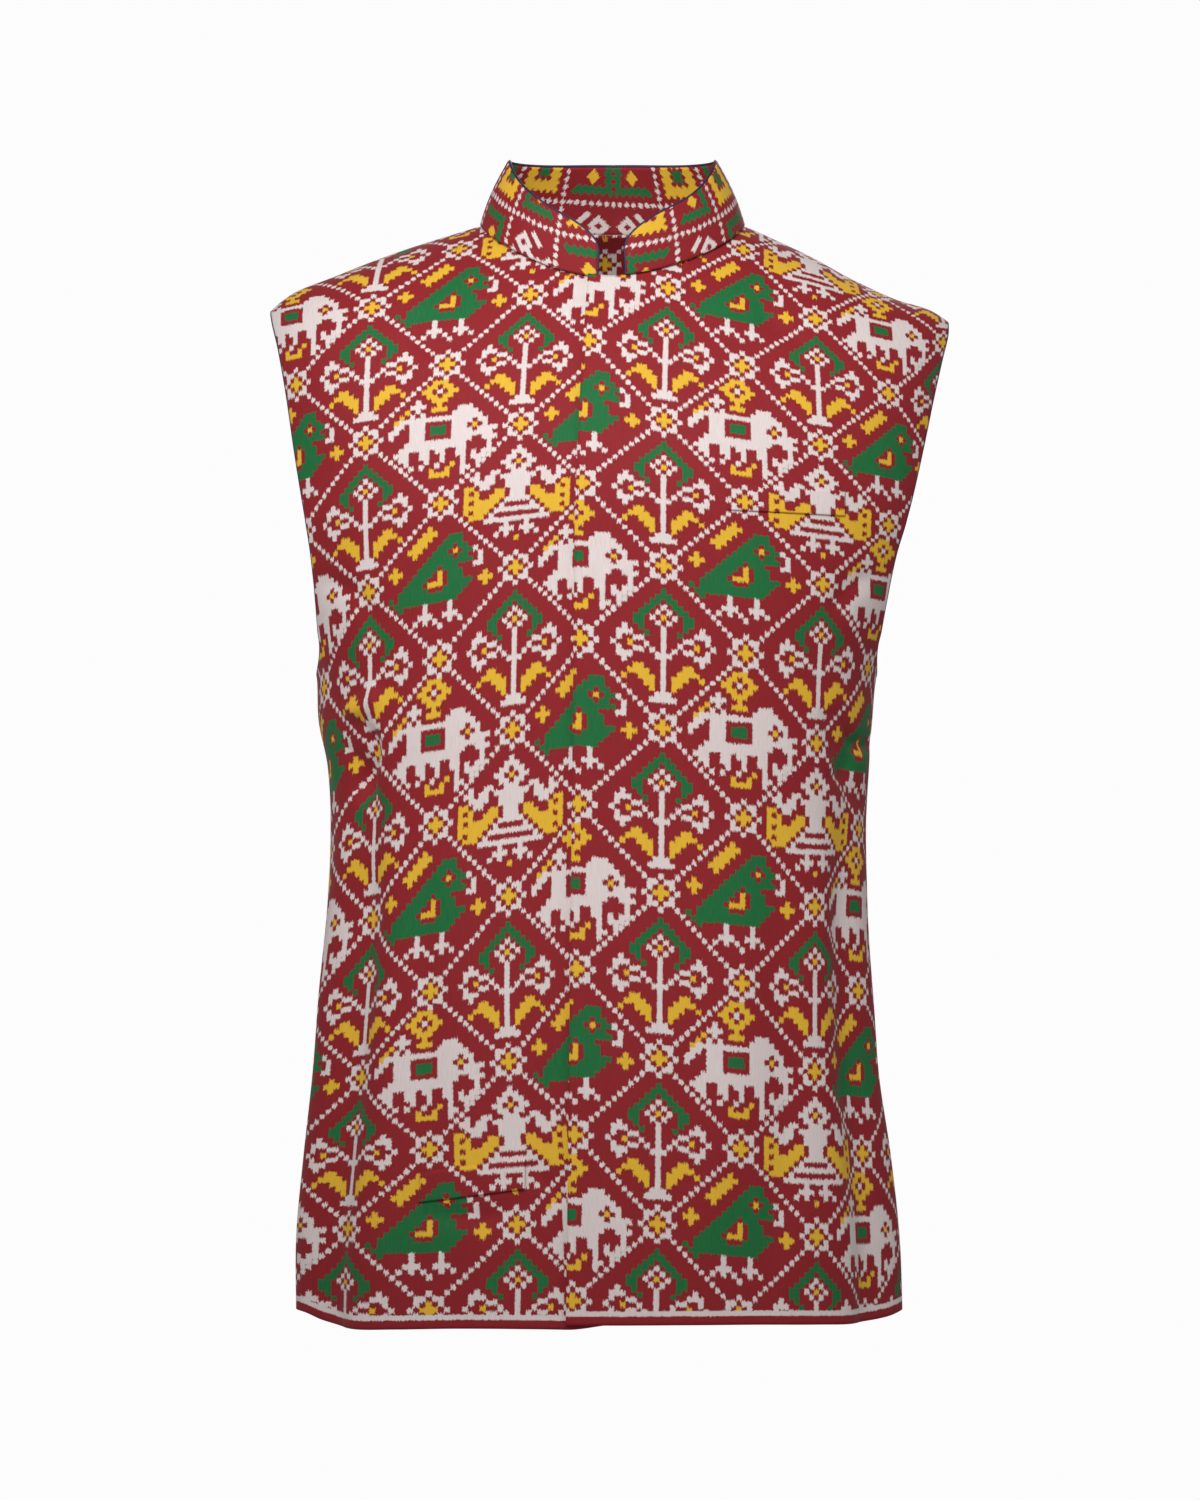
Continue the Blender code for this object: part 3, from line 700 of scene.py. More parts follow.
def close_seam(point, face):
    """Brings the points of a side or shoulder seam to the body's middle plane."""
    sign = -1 if face == "front" else 1
    y = point[..., 1]
    point[..., 1] = np.where(np.abs(y) < SEAM_GAP, sign * 0.03, y)
    return point


def seam_dip(point, half=2.2, deep=0.55):
    """Cloth sinks a little along a seam."""
    return deep * np.exp(-((point[..., 1] / half) ** 2))


def front_panel(side):
    turn, level = front_places(side)
    plain = smooth_body("front", turn, level)
    push = seam_dip(plain)
    if side == "right":
        push = push + lap_push(plain[..., 0])
    point, _ = cloth_point("front", turn, level, push)
    point = close_seam(point, "front")
    across, down = woven_cells(side, turn, level)
    _, up = lengths["front"].at(turn, level)
    _, foot = lengths["front"].at(turn[:1], level[:1])
    from_hem = up - foot
    cells = (across, down)
    edge = (from_hem, across)
    if side == "right":
        # Turned round, so that the faces of both fronts look outwards.
        point = point[:, ::-1]
        cells = [grid[:, ::-1] for grid in cells]
        edge = [grid[:, ::-1] for grid in edge]
    return shell(
        f"front_{side}_cloth",
        point,
        cells,
        edge,
        CLOTH,
        [f"front_{side}"],
    )


front_left = front_panel("left")
front_right = front_panel("right")

# %% [markdown]
# ## The back
#
# The back is one panel between the side seams. Its grid is bounded by the two
# armholes and, at the top, by both shoulder seams with the neck seam between.

# %% Grid of the back
BACK_COLUMNS = 156
BACK_HALF, BACK_SPREAD = 10 / 34, 0.21


def back_places():
    u = np.linspace(0, 1, BACK_COLUMNS + 1)[None, :]
    middle = BACK_SPREAD + (1 - 2 * BACK_SPREAD) * (u - BACK_HALF) / (1 - 2 * BACK_HALF)
    share = np.where(u < BACK_HALF, BACK_SPREAD * u / BACK_HALF, middle)
    share = np.where(u > 1 - BACK_HALF, 1 - BACK_SPREAD * (1 - u) / BACK_HALF, share)
    low = np.linspace(0, 1, LOW_ROWS + 1)[:, None]
    hem = float(hem_level("back", np.array(0.0)))
    turn = math.pi * share + 0 * low
    level = hem + (underarm - hem) * low + 0 * share

    high = np.linspace(0, 1, HIGH_ROWS + 1)[1:, None]
    tips = [float(arm_seams["back", side](1.0)[0]) for side in ("left", "right")]
    necks = [float(neckline("back", side, np.array(0.0))[0]) for side in ("left", "right")]
    neck = evenly_run("back", *neckline("back", "left", 180 * PARTS))
    along = neck(np.clip((u - BACK_HALF) / (1 - 2 * BACK_HALF), 0, 1))
    top_turn = np.where(u < BACK_HALF, tips[0] + (necks[0] - tips[0]) * u / BACK_HALF, along[0])
    top_turn = np.where(
        u > 1 - BACK_HALF, tips[1] + (necks[1] - tips[1]) * (1 - u) / BACK_HALF, top_turn
    )
    outside = (u < BACK_HALF) | (u > 1 - BACK_HALF)
    top_level = np.where(outside, math.pi / 2, along[1])
    start, end = arm_seams["back", "left"](high), arm_seams["back", "right"](high)
    up_turn = math.pi * share + (top_turn - math.pi * share) * high
    up_turn = up_turn + (start[0] - tips[0] * high) * (1 - u) ** 5
    up_turn = up_turn + (end[0] - math.pi - (tips[1] - math.pi) * high) * u**5
    up_level = underarm + (top_level - underarm) * high
    rise = underarm + (math.pi / 2 - underarm) * high
    up_level = up_level + (start[1] - rise) * (1 - u) ** 5 + (end[1] - rise) * u**5
    turn = np.concatenate([turn, up_turn])
    level = np.minimum(np.concatenate([level, up_level]), math.pi / 2)
    return turn, level


def back_panel():
    turn, level = back_places()
    plain = smooth_body("back", turn, level)
    point, _ = cloth_point("back", turn, level, seam_dip(plain))
    point = close_seam(point, "back")
    across, down = woven_cells("back", turn, level)
    _, up = lengths["back"].at(turn, level)
    _, foot = lengths["back"].at(turn[:1], level[:1])
    return shell(
        "back_cloth", point, (across, down), (up - foot, across), CLOTH, ["back"]
    )


back = back_panel()

# %% [markdown]
# ## The standing collar
#
# The collar is a stiff band that stands on the neck seam and leans in towards the
# neck. Its front ends are round. Each column of its grid starts at a point of the
# neck seam and rises at its own lean, so the band follows the seam's whole way
# from one front end round the back to the other.

# %% Grid of the collar
COLLAR_CLOTH = 2.4
COLLAR_HEIGHT, COLLAR_FRONT, COLLAR_END, COLLAR_ROUND = 46.0, 38.0, 17.0, 45.0
COLLAR_COLUMNS, COLLAR_ROWS = 300, 24


def neck_ring():
    """Points of the neck seam from the collar's right end to its left end."""
    steps = np.linspace(0, 1, 121)
    right_turn, right_level = neckline("front", "right", 83 * (1 - steps))
    x = smooth_body("front", right_turn, right_level)[:, 0]
    way = outward("front", right_turn, right_level)
    right = smooth_body("front", right_turn, right_level) - way * lap_push(x)[:, None]
    back = smooth_body("back", *neckline("back", "right", 180 * steps[1:-1]))
    left = smooth_body("front", *neckline("front", "left", 84 * steps))
    return np.concatenate([right, back, left])


ring = neck_ring()
gone = np.concatenate([[0], np.cumsum(np.linalg.norm(np.diff(ring, axis=0), axis=1))])
neck_length = gone[-1]


def collar_points(u, v, lift=0.1):
    """Points of the collar's outer face: u from the right end, v from the seam."""
    foot = np.stack([np.interp(u * neck_length, gone, ring[:, k]) for k in range(3)], -1)
    from_end = np.minimum(u, 1 - u) * neck_length
    height = COLLAR_FRONT + (COLLAR_HEIGHT - COLLAR_FRONT) * soft_step(30, 125, from_end)
    share = np.clip(1 - from_end / COLLAR_ROUND, 0, 1)
    height = np.where(
        from_end < COLLAR_ROUND,
        COLLAR_END + (height - COLLAR_END) * np.sqrt(np.maximum(1 - share**2, 0)),
        height,
    )
    inward = np.array([NECK_X, -14.0, 0.0]) - foot
    inward[..., 2] = 0
    inward /= np.linalg.norm(inward, axis=-1, keepdims=True)
    lean = 0.10 + 0.30 * inward[..., 0] ** 2 + 0.10 * np.maximum(-inward[..., 1], 0)
    rise = height * v
    up = np.zeros_like(foot)
    up[..., 2] = np.sqrt(1 - lean * lean) * rise + lift
    bow = 0.04 * np.sin(math.pi * v) * height
    return foot + up + inward * (rise * lean - bow)[..., None], rise, from_end


u_grid, v_grid = np.meshgrid(
    np.linspace(0, 1, COLLAR_COLUMNS + 1), np.linspace(0, 1, COLLAR_ROWS + 1)
)
collar_grid, collar_rise, collar_from_end = collar_points(u_grid, v_grid)
# The collar is cut on the bias in two mirrored halves, so its weave lies at 45
# degrees. A crossing of its dotted lines lies this far from each end and the seam,
# and the place shifts softly round the back from one half's to the other's.
COLLAR_CROSSING = {"right": (70.0, 24.0), "left": (77.0, 18.0)}
COLLAR_CELL = 3.66
to_left = soft_step(0.3, 0.7, u_grid)
crossing = [
    right + (left - right) * to_left
    for right, left in zip(COLLAR_CROSSING["right"], COLLAR_CROSSING["left"])
]
towards_end = (crossing[0] - collar_from_end) / (COLLAR_CELL * math.sqrt(2))
over_crossing = (collar_rise - crossing[1]) / (COLLAR_CELL * math.sqrt(2))
collar_across = towards_end + over_crossing
collar_down = towards_end - over_crossing
collar = shell(
    "collar_cloth",
    collar_grid,
    (collar_across, collar_down),
    (collar_rise + 40, collar_across),
    COLLAR_CLOTH,
    ["collar"],
)
print(f"neck seam: {neck_length:.0f} mm")

# %% [markdown]
# ## Cords on the edges
#
# A thin dark cord is sewn along the collar's top and round each armhole. A curve
# with a round bevel follows the middle of the cloth's cut edge, half sunk in it.

# %% Cords
CORD_RADIUS = 0.95


def cord_along(name, points, closed, replaced):
    """A round cord along a line of points in millimetres."""
    curve = bpy.data.curves.new(name, "CURVE")
    curve.dimensions = "3D"
    curve.bevel_depth = CORD_RADIUS * 0.001
    curve.bevel_resolution = 3
    curve.use_fill_caps = True
    spline = curve.splines.new("POLY")
    spline.points.add(len(points) - 1)
    for knot, point in zip(spline.points, points):
        knot.co = (*(point * 0.001), 1)
    spline.use_cyclic_u = closed
    guide = bpy.data.objects.new(name + "_line", curve)
    bpy.context.scene.collection.objects.link(guide)
    graph = bpy.context.evaluated_depsgraph_get()
    tube = bpy.data.meshes.new_from_object(guide.evaluated_get(graph))
    tube.shade_smooth()
    bpy.data.objects.remove(guide)
    piece = bpy.data.objects.new(name, tube)
    bpy.context.scene.collection.objects.link(piece)
    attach(piece, "root")
    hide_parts(replaced)
    return piece


def collar_edge():
    """The middle of the collar's cut edge, up one end, along the top and down."""
    climb = np.linspace(0, 1, 12)[:-1]
    top = np.linspace(0, 1, 361)
    u = np.concatenate([0 * climb, top, 0 * climb + 1])
    v = np.concatenate([climb, 0 * top + 1, climb[::-1]])
    step = 0.004
    point = collar_points(u, v)[0]
    right, left = np.clip(u + step, 0, 1), np.clip(u - step, 0, 1)
    across = collar_points(right, v)[0] - collar_points(left, v)[0]
    up = collar_points(u, np.clip(v + step, 0, 1))[0]
    up = up - collar_points(u, np.clip(v - step, 0, 1))[0]
    way = np.cross(across, up)
    way /= np.linalg.norm(way, axis=-1, keepdims=True)
    middle = point - way * COLLAR_CLOTH / 2
    along = np.gradient(middle, axis=0)
    out = np.cross(way, along)
    out /= np.linalg.norm(out, axis=-1, keepdims=True)
    out *= np.where((out[:, 2:] < 0) & (v[:, None] >= 1), -1, 1)
    return middle + out * CORD_RADIUS * 0.5


def armhole_edge(side):
    """The middle of the cut edge, up the front of an armhole and down its back."""
    lines = []
    for face in ("front", "back"):
        turn, level = arm_seams[face, side](np.linspace(0, 1, 121))
        plain = smooth_body(face, turn, np.minimum(level, math.pi / 2))
        push = seam_dip(plain) + CLOTH / 2
        point, _ = cloth_point(face, turn, np.minimum(level, math.pi / 2), push)
        lines.append(close_seam(point, face))
    return np.concatenate([lines[0], lines[1][-2:0:-1]])


cords = [cord_along("collar_cord", collar_edge(), False, "collar_piping")]
for side in ("right", "left"):
    cords.append(
        cord_along(
            f"armhole_cord_{side}", armhole_edge(side), True, f"armhole_piping_{side}"
        )
    )
print("cords:", [cord.name for cord in cords])

# %% [markdown]
# ## Pocket welts
#
# A welt is a folded strip sewn over a pocket's mouth. It is laid on the front from
# the front's own points and moved out by its thickness. Its weave is cut from the
# same place as the cloth under it, so the motifs run on across it.

# %% Welts
WELTS = {
    "chest_welt": ("left", 80, 158, -197, -180, -3),
    "hip_welt_right": ("right", -123, -52, -651, -631, 10),
}


def welt(name, side, left, right, low, high, rise):
    u, v = np.meshgrid(np.linspace(0, 1, 61), np.linspace(0, 1, 17))
    x = left + (right - left) * u
    z = low + (high - low) * v + rise * u
    turn, level = locate("front", x, z)
    edge = np.minimum.reduce([u * (right - left), (1 - u) * (right - left), (1 - v) * 17])
    lift = 0.5 + 0.9 * soft_step(0, 1.6, edge)
    point, way = cloth_point("front", turn, level)
    point = point + way * lift[..., None]
    return shell(
        name + "_cloth",
        point,
        woven_cells(side, turn, level),
        (0 * x + 60, x),
        1.2,
        [name],
    )


welts = [welt(name, *place) for name, place in WELTS.items()]

# %% [markdown]
# ## Charts of the motifs
#
# The cloth is a traditional trellis: diamonds of small white dots, and in each
# diamond a flowering tree, an elephant, a parrot or a dancer. A weaver plans such
# a motif as a chart of cells. The charts below are drawn in the same way: w is
# white, y yellow, g green and a dot the red ground. The middle of each row is the
# middle of its diamond.

# %% Charts
ELEPHANT = (-11, """
...........yyy.............
..........yy.yy............
.........yy.w.yy...........
..........yy.yy............
........w..yyy.............
.......www..y..............
......y.w..yyy..www........
.....y.w.w.....wwwww.......
....ywwwwwwwwwwwwwwww......
....ww.www.....wwww.ww.....
...ww..www.ggg.www.y.w.....
...w...www.ggg.wwww.wwww...
.......www.....wwwwwwww....
......wwwwwwwwwwwww..www...
.....wwwwwwwwwwwww....w....
....www..ww.ww..ww....w....
.....ww..ww..w..ww.w.ww....
......w...w..w...w.www.....
.......w.w..w..y.w..w......
...........y..y..ww........
...........yyyy..w.........
""")
PARROT = (-10, """
...........y...............
..........yyy..............
.........yyy...ggg.........
........yyy...gggg.........
.......yyy...ggg.gg........
........y...ggg.y.ggw......
...........ggggg.gg..w.....
....y.....gggggggggg.w.....
...yyy...gggg.ggg...ww.....
....y...gggg.y.ggg.........
.......gggg..y.ggg....y....
......gggg.yyy.ggggg.yyy...
.....gggggg...ggggg...y....
...g.ggggggggggggg.........
....ggggggggggggg..........
.....g....w....w...........
..........w....w...........
.........www..www..........
........w.w.w..w.w.........
.............w.............
""")
FLOWER_TREE = (-10, """
.............g.............
............ggg............
...........gg.gg...........
..........gg.w.gg..........
.........gg.w.w.gg.........
........gg.w.y.w.gg........
........gg..w.w..gg........
......w..g...w...g..w......
.....www..g..w..g..www.....
.....w..ww...w...ww..w.....
....w..y..w..w..w..y..w....
.....w..ww.w.w.w.ww..w.....
.....www....www....www.....
......w......w......w......
........yy...w...yy........
.......yyyy..w..yyyy.......
......y..yyy.w.yyy..y......
..........yy.w.yy..........
...........y.w.y...........
............www............
...........wwwww...........
""")
DANCER = (-10, """
.............w.............
............www............
...........ww.ww...........
..........ww.y.ww..........
...........ww.ww...........
.....w..ww..www..ww..w.....
....ww.ww.wwwwwww.ww.ww....
.....wwww..wwwww..wwww.....
...yy.ww...wwwww...ww.yy...
...y.y...yy.www.yy...y.y...
...yyy..yyy.www.yyy..yyy...
...y.yyyyy.wwwww.yyyyy.y...
...yyyyyy.w.....w.yyyyyy...
...y.yyy.wwwwwwwww.yyy.y...
....yyy.w.........w.yyy....
.......wwwwwwwwwwwww.......
...........w...w...........
..........www.www..........
.........w.w...w.w.........
.............y.............
""")

# The collar's small diamonds, which hold a ring on a stem, a roof or a lozenge.
RING = (-3, """
............www............
..........w.w.w.w..........
..........w.www.w..........
..........w..w..w..........
.............w.............
............w.w............
..........ww...ww..........
""")
ROOF = (-5, """
.............g.............
............gg.............
...........gg..............
..........gg...............
.........gg................
........gg..yy.............
.........gg.yy.............
..........gg...............
...........gg..............
............gg.............
.............g.............
""")
LOZENGE = (-5, """
.............y.............
............yyy............
...........yyyyy...........
..........yyy.yyy..........
.........yyy.g.yyy.........
........yyy.ggg.yyy........
.........yyy.g.yyy.........
..........yyy.yyy..........
...........yyyyy...........
............yyy............
.............y.............
""")


def row_numbers(chart, half):
    """For each row of a chart, one number a colour that holds a half row's cells.

    Cell 0 is the middle one and is worth a half, the next a quarter, and so on.
    """
    first, text = chart
    numbers = {}
    for j, line in enumerate(text.split(), first):
        cells = line[13:] if half == "right" else line[13::-1]
        numbers[j] = [
            sum(0.5 ** (n + 1) for n, cell in enumerate(cells) if cell == colour)
            for colour in "wyg"
        ]
    return numbers


print("rows of the elephant:", len(row_numbers(ELEPHANT, "left")))

# %% [markdown]
# ## From chart to material
#
# A material can't hold a list, but a Color Ramp with hard steps can: one step for
# each row of a chart. Its red, green and blue carry three binary fractions, the
# white, yellow and green cells of half a row. Multiplying by a power of two,
# dropping the fraction and halving again tells whether one cell is set, just as a
# pegged loom reads its card. Motifs that mirror need one ramp and the animals two.


# %% Small helpers for node trees
def number(tree, kind, *values):
    """A Math node; each value is a number or a socket."""
    node = tree.nodes.new("ShaderNodeMath")
    node.operation = kind
    for socket, value in zip(node.inputs, values):
        if isinstance(value, bpy.types.NodeSocket):
            tree.links.new(value, socket)
        else:
            socket.default_value = value
    return node.outputs[0]


def vector(tree, kind, *values):
    """A Vector Math node; a single number stands for all three parts."""
    node = tree.nodes.new("ShaderNodeVectorMath")
    node.operation = kind
    for socket, value in zip(node.inputs, values):
        if isinstance(value, bpy.types.NodeSocket):
            tree.links.new(value, socket)
        elif isinstance(value, (int, float)):
            socket.default_value = (value,) * 3
        else:
            socket.default_value = value
    return node.outputs[0]


def parts_of(tree, socket):
    node = tree.nodes.new("ShaderNodeSeparateXYZ")
    tree.links.new(socket, node.inputs[0])
    return node.outputs


def together(tree, *values):
    node = tree.nodes.new("ShaderNodeCombineXYZ")
    for socket, value in zip(node.inputs, values):
        if isinstance(value, bpy.types.NodeSocket):
            tree.links.new(value, socket)
        else:
            socket.default_value = value
    return node.outputs[0]


def mixed(tree, share, first, second):
    """A mix of two colours by a share from 0 to 1."""
    node = tree.nodes.new("ShaderNodeMix")
    node.data_type = "RGBA"
    node.clamp_factor = True
    for index, value in ((0, share), (6, first), (7, second)):
        socket = node.inputs[index]
        if isinstance(value, bpy.types.NodeSocket):
            tree.links.new(value, socket)
        else:
            socket.default_value = value
    return node.outputs[2]


def rough_noise(tree, place, scale, detail=1.0):
    node = tree.nodes.new("ShaderNodeTexNoise")
    node.inputs["Scale"].default_value = scale
    node.inputs["Detail"].default_value = detail
    tree.links.new(place, node.inputs["Vector"])
    return node.outputs["Fac"]


def new_group(name, inputs, outputs):
    """An empty node group with named sockets: (name, type, default)."""
    group = bpy.data.node_groups.new(name, "ShaderNodeTree")
    for title, kind, default in inputs:
        socket = group.interface.new_socket(title, in_out="INPUT", socket_type=kind)
        if default is not None:
            socket.default_value = default
    for title, kind in outputs:
        group.interface.new_socket(title, in_out="OUTPUT", socket_type=kind)
    return group, group.nodes.new("NodeGroupInput"), group.nodes.new("NodeGroupOutput")


ROWS_READ = 28


def chart_ramp(tree, chart, half, place):
    """A hard-stepped ramp that gives the numbers of a chart's row."""
    node = tree.nodes.new("ShaderNodeValToRGB")
    ramp = node.color_ramp
    ramp.interpolation = "CONSTANT"
    numbers = row_numbers(chart, half)
    wanted = [(0, (0, 0, 0))]
    for j in range(-13, 14):
        colour = tuple(numbers.get(j, (0, 0, 0)))
        if colour != wanted[-1][1]:
            wanted.append((j + 14, colour))
    ramp.elements[0].position = 0.0
    ramp.elements[0].color = (0, 0, 0, 1)
    ramp.elements[1].position = wanted[1][0] / ROWS_READ
    ramp.elements[1].color = (*wanted[1][1], 1)
    for row, colour in wanted[2:]:
        stop = ramp.elements.new(row / ROWS_READ)
        stop.color = (*colour, 1)
    tree.links.new(place, node.inputs["Fac"])
    return node.outputs["Color"]


print("helpers ready")

# %% [markdown]
# ## The trellis group
#
# The group takes a place in woven cells and gives a mask each for white, yellow
# and green. Diamonds are found by turning the cells by 45 degrees and rounding.
# Which motif a diamond holds follows from its column and row: trees in every
# second column, with a dancer in each fourth place, and elephants and parrots by
# turns in the columns between. The rosettes at the diamonds' corners and the
# dotted lines are simple enough to be sums of distances.


# %% The trellis group
MASKS = [(colour, "NodeSocketFloat") for colour in ("White", "Yellow", "Green")]
# Cells from the middle of a diamond to its corners.
DIAMOND_HALF = 15.0
COLLAR_DIAMOND_HALF = 8.0


def diamond(tree, i, j, half=DIAMOND_HALF):
    """The diamond that holds the cell i, j, counted along its two slants."""
    rising = number(tree, "DIVIDE", number(tree, "ADD", i, j), 2 * half)
    falling = number(tree, "DIVIDE", number(tree, "SUBTRACT", i, j), 2 * half)
    return number(tree, "ROUND", rising), number(tree, "ROUND", falling)


def middle_of(tree, slants):
    """The column and row of a diamond, in half diamonds."""
    return number(tree, "ADD", *slants), number(tree, "SUBTRACT", *slants)


def from_middle(tree, at, middle, half=DIAMOND_HALF):
    return number(tree, "SUBTRACT", at, number(tree, "MULTIPLY", middle, half))


def cells_set(tree, numbers, width):
    """The white, yellow and green bits of a row's numbers at this distance."""
    worth = number(tree, "POWER", 2.0, number(tree, "ADD", width, 1.0))
    nudged = vector(tree, "ADD", numbers, 2.0**-17)
    scaled = vector(tree, "MULTIPLY", nudged, together(tree, worth, worth, worth))
    return parts_of(tree, vector(tree, "MODULO", vector(tree, "FLOOR", scaled), 2.0))


def inside_dot(tree, cells, i, j):
    """A dot that leaves a little red at its cell's corners."""
    place = parts_of(tree, cells)
    aside = number(tree, "ABSOLUTE", number(tree, "SUBTRACT", place[0], i))
    above = number(tree, "ABSOLUTE", number(tree, "SUBTRACT", place[1], j))
    square = number(tree, "LESS_THAN", number(tree, "MAXIMUM", aside, above), 0.46)
    cut = number(tree, "LESS_THAN", number(tree, "ADD", aside, above), 0.76)
    return number(tree, "MULTIPLY", square, cut)


def build_trellis():
    tree, given, result = new_group(
        "patola_trellis",
        [("Cells", "NodeSocketVector", None)],
        MASKS,
    )
    cell = parts_of(tree, vector(tree, "FLOOR", vector(tree, "ADD", given.outputs[0], 0.5)))
    i, j = cell[0], cell[1]
    a, b = middle_of(tree, diamond(tree, i, j))
    across, down = from_middle(tree, i, a), from_middle(tree, j, b)

    column = number(tree, "FLOORED_MODULO", a, 4.0)
    row = number(tree, "FLOORED_MODULO", b, 4.0)
    odd = number(tree, "FLOORED_MODULO", a, 2.0)
    same = number(tree, "COMPARE", column, row, 0.1)
    elephant = number(tree, "MULTIPLY", odd, same)
    second = number(tree, "COMPARE", column, 2.0, 0.1)
    dancer = number(tree, "MULTIPLY", second, same)
    left = number(tree, "LESS_THAN", across, -0.5)

    place = number(tree, "DIVIDE", number(tree, "ADD", down, 14.5), float(ROWS_READ))
    ramps = {
        name: chart_ramp(tree, chart, half, place)
        for name, chart, half in (
            ("tree", FLOWER_TREE, "right"),
            ("dancer", DANCER, "right"),
            ("elephant_right", ELEPHANT, "right"),
            ("elephant_left", ELEPHANT, "left"),
            ("parrot_right", PARROT, "right"),
            ("parrot_left", PARROT, "left"),
        )
    }
    still = mixed(tree, dancer, ramps["tree"], ramps["dancer"])
    elephants = mixed(tree, left, ramps["elephant_right"], ramps["elephant_left"])
    parrots = mixed(tree, left, ramps["parrot_right"], ramps["parrot_left"])
    animals = mixed(tree, elephant, parrots, elephants)
    row_numbers_here = mixed(tree, odd, still, animals)

    width = number(tree, "ABSOLUTE", across)
    cell_set = cells_set(tree, row_numbers_here, width)

    height = number(tree, "ABSOLUTE", down)
    reach_here = number(tree, "ADD", width, height)
    border = number(tree, "COMPARE", reach_here, DIAMOND_HALF, 0.1)
    clear = number(tree, "GREATER_THAN", number(tree, "MINIMUM", width, height), 2.5)
    line = number(tree, "MULTIPLY", border, clear)
    dots = number(tree, "MULTIPLY", line, inside_dot(tree, given.outputs[0], i, j))

    shifted = number(tree, "ADD", i, DIAMOND_HALF)
    c, d = middle_of(tree, diamond(tree, shifted, j))
    beside = number(tree, "ABSOLUTE", from_middle(tree, shifted, c))
    above = number(tree, "ABSOLUTE", from_middle(tree, j, d))
    total = number(tree, "ADD", beside, above)
    product = number(tree, "MULTIPLY", beside, above)
    heart = number(tree, "LESS_THAN", total, 1.5)
    farthest = number(tree, "MAXIMUM", beside, above)
    petals = number(
        tree,
        "MULTIPLY",
        number(tree, "LESS_THAN", farthest, 2.5),
        number(tree, "GREATER_THAN", product, 1.5),
    )
    tips = number(
        tree,
        "MULTIPLY",
        number(tree, "COMPARE", total, 3.0, 0.1),
        number(tree, "LESS_THAN", product, 0.5),
    )
    rosette = number(tree, "MAXIMUM", petals, tips)
    white = number(tree, "MAXIMUM", cell_set[0], number(tree, "MAXIMUM", dots, rosette))
    tree.links.new(white, result.inputs["White"])
    yellow = number(tree, "MAXIMUM", cell_set[1], heart)
    tree.links.new(yellow, result.inputs["Yellow"])
    tree.links.new(cell_set[2], result.inputs["Green"])
    return tree


def build_collar_trellis():
    """The same outputs for the collar, whose diamonds are small and have no rosettes."""
    tree, given, result = new_group(
        "collar_trellis",
        [("Cells", "NodeSocketVector", None)],
        MASKS,
    )
    cell = parts_of(tree, vector(tree, "FLOOR", vector(tree, "ADD", given.outputs[0], 0.5)))
    i = cell[0]
    j = number(tree, "ADD", cell[1], COLLAR_DIAMOND_HALF)
    rising, falling = diamond(tree, i, j, COLLAR_DIAMOND_HALF)
    a, b = middle_of(tree, (rising, falling))
    across = from_middle(tree, i, a, COLLAR_DIAMOND_HALF)
    down = from_middle(tree, j, b, COLLAR_DIAMOND_HALF)
    odd_rising = number(tree, "FLOORED_MODULO", rising, 2.0)
    odd_falling = number(tree, "FLOORED_MODULO", falling, 2.0)
    ring = number(tree, "MULTIPLY", odd_rising, odd_falling)
    roof = number(tree, "ABSOLUTE", number(tree, "SUBTRACT", odd_rising, odd_falling))
    turned = number(tree, "SUBTRACT", 1.0, number(tree, "MULTIPLY", odd_falling, 2.0))
    left = number(tree, "LESS_THAN", number(tree, "MULTIPLY", across, turned), -0.5)

    place = number(tree, "DIVIDE", number(tree, "ADD", down, 14.5), float(ROWS_READ))
    rings = chart_ramp(tree, RING, "right", place)
    lozenges = chart_ramp(tree, LOZENGE, "right", place)
    roof_right = chart_ramp(tree, ROOF, "right", place)
    roof_left = chart_ramp(tree, ROOF, "left", place)
    still = mixed(tree, ring, lozenges, rings)
    numbers = mixed(tree, roof, still, mixed(tree, left, roof_right, roof_left))
    width = number(tree, "ABSOLUTE", across)
    cell_set = cells_set(tree, numbers, width)
    reach_here = number(tree, "ADD", width, number(tree, "ABSOLUTE", down))
    border = number(tree, "COMPARE", reach_here, COLLAR_DIAMOND_HALF, 0.1)
    dots = number(tree, "MULTIPLY", border, inside_dot(tree, given.outputs[0], i, cell[1]))
    tree.links.new(number(tree, "MAXIMUM", cell_set[0], dots), result.inputs["White"])
    tree.links.new(cell_set[1], result.inputs["Yellow"])
    tree.links.new(cell_set[2], result.inputs["Green"])
    return tree


trellis = build_trellis()
collar_trellis = build_collar_trellis()
print("trellis groups:", len(trellis.nodes), "and", len(collar_trellis.nodes), "nodes")

# %% [markdown]
# ## The dyed thread group
#
# In ikat the threads are dyed before they are woven, and no two lie quite true.
# So a cell's sides are ragged: each thread steps a little to the left or right, or
# up or down. The group moves the place at which the trellis is read by noise that
# changes quickly from thread to thread and slowly along one.


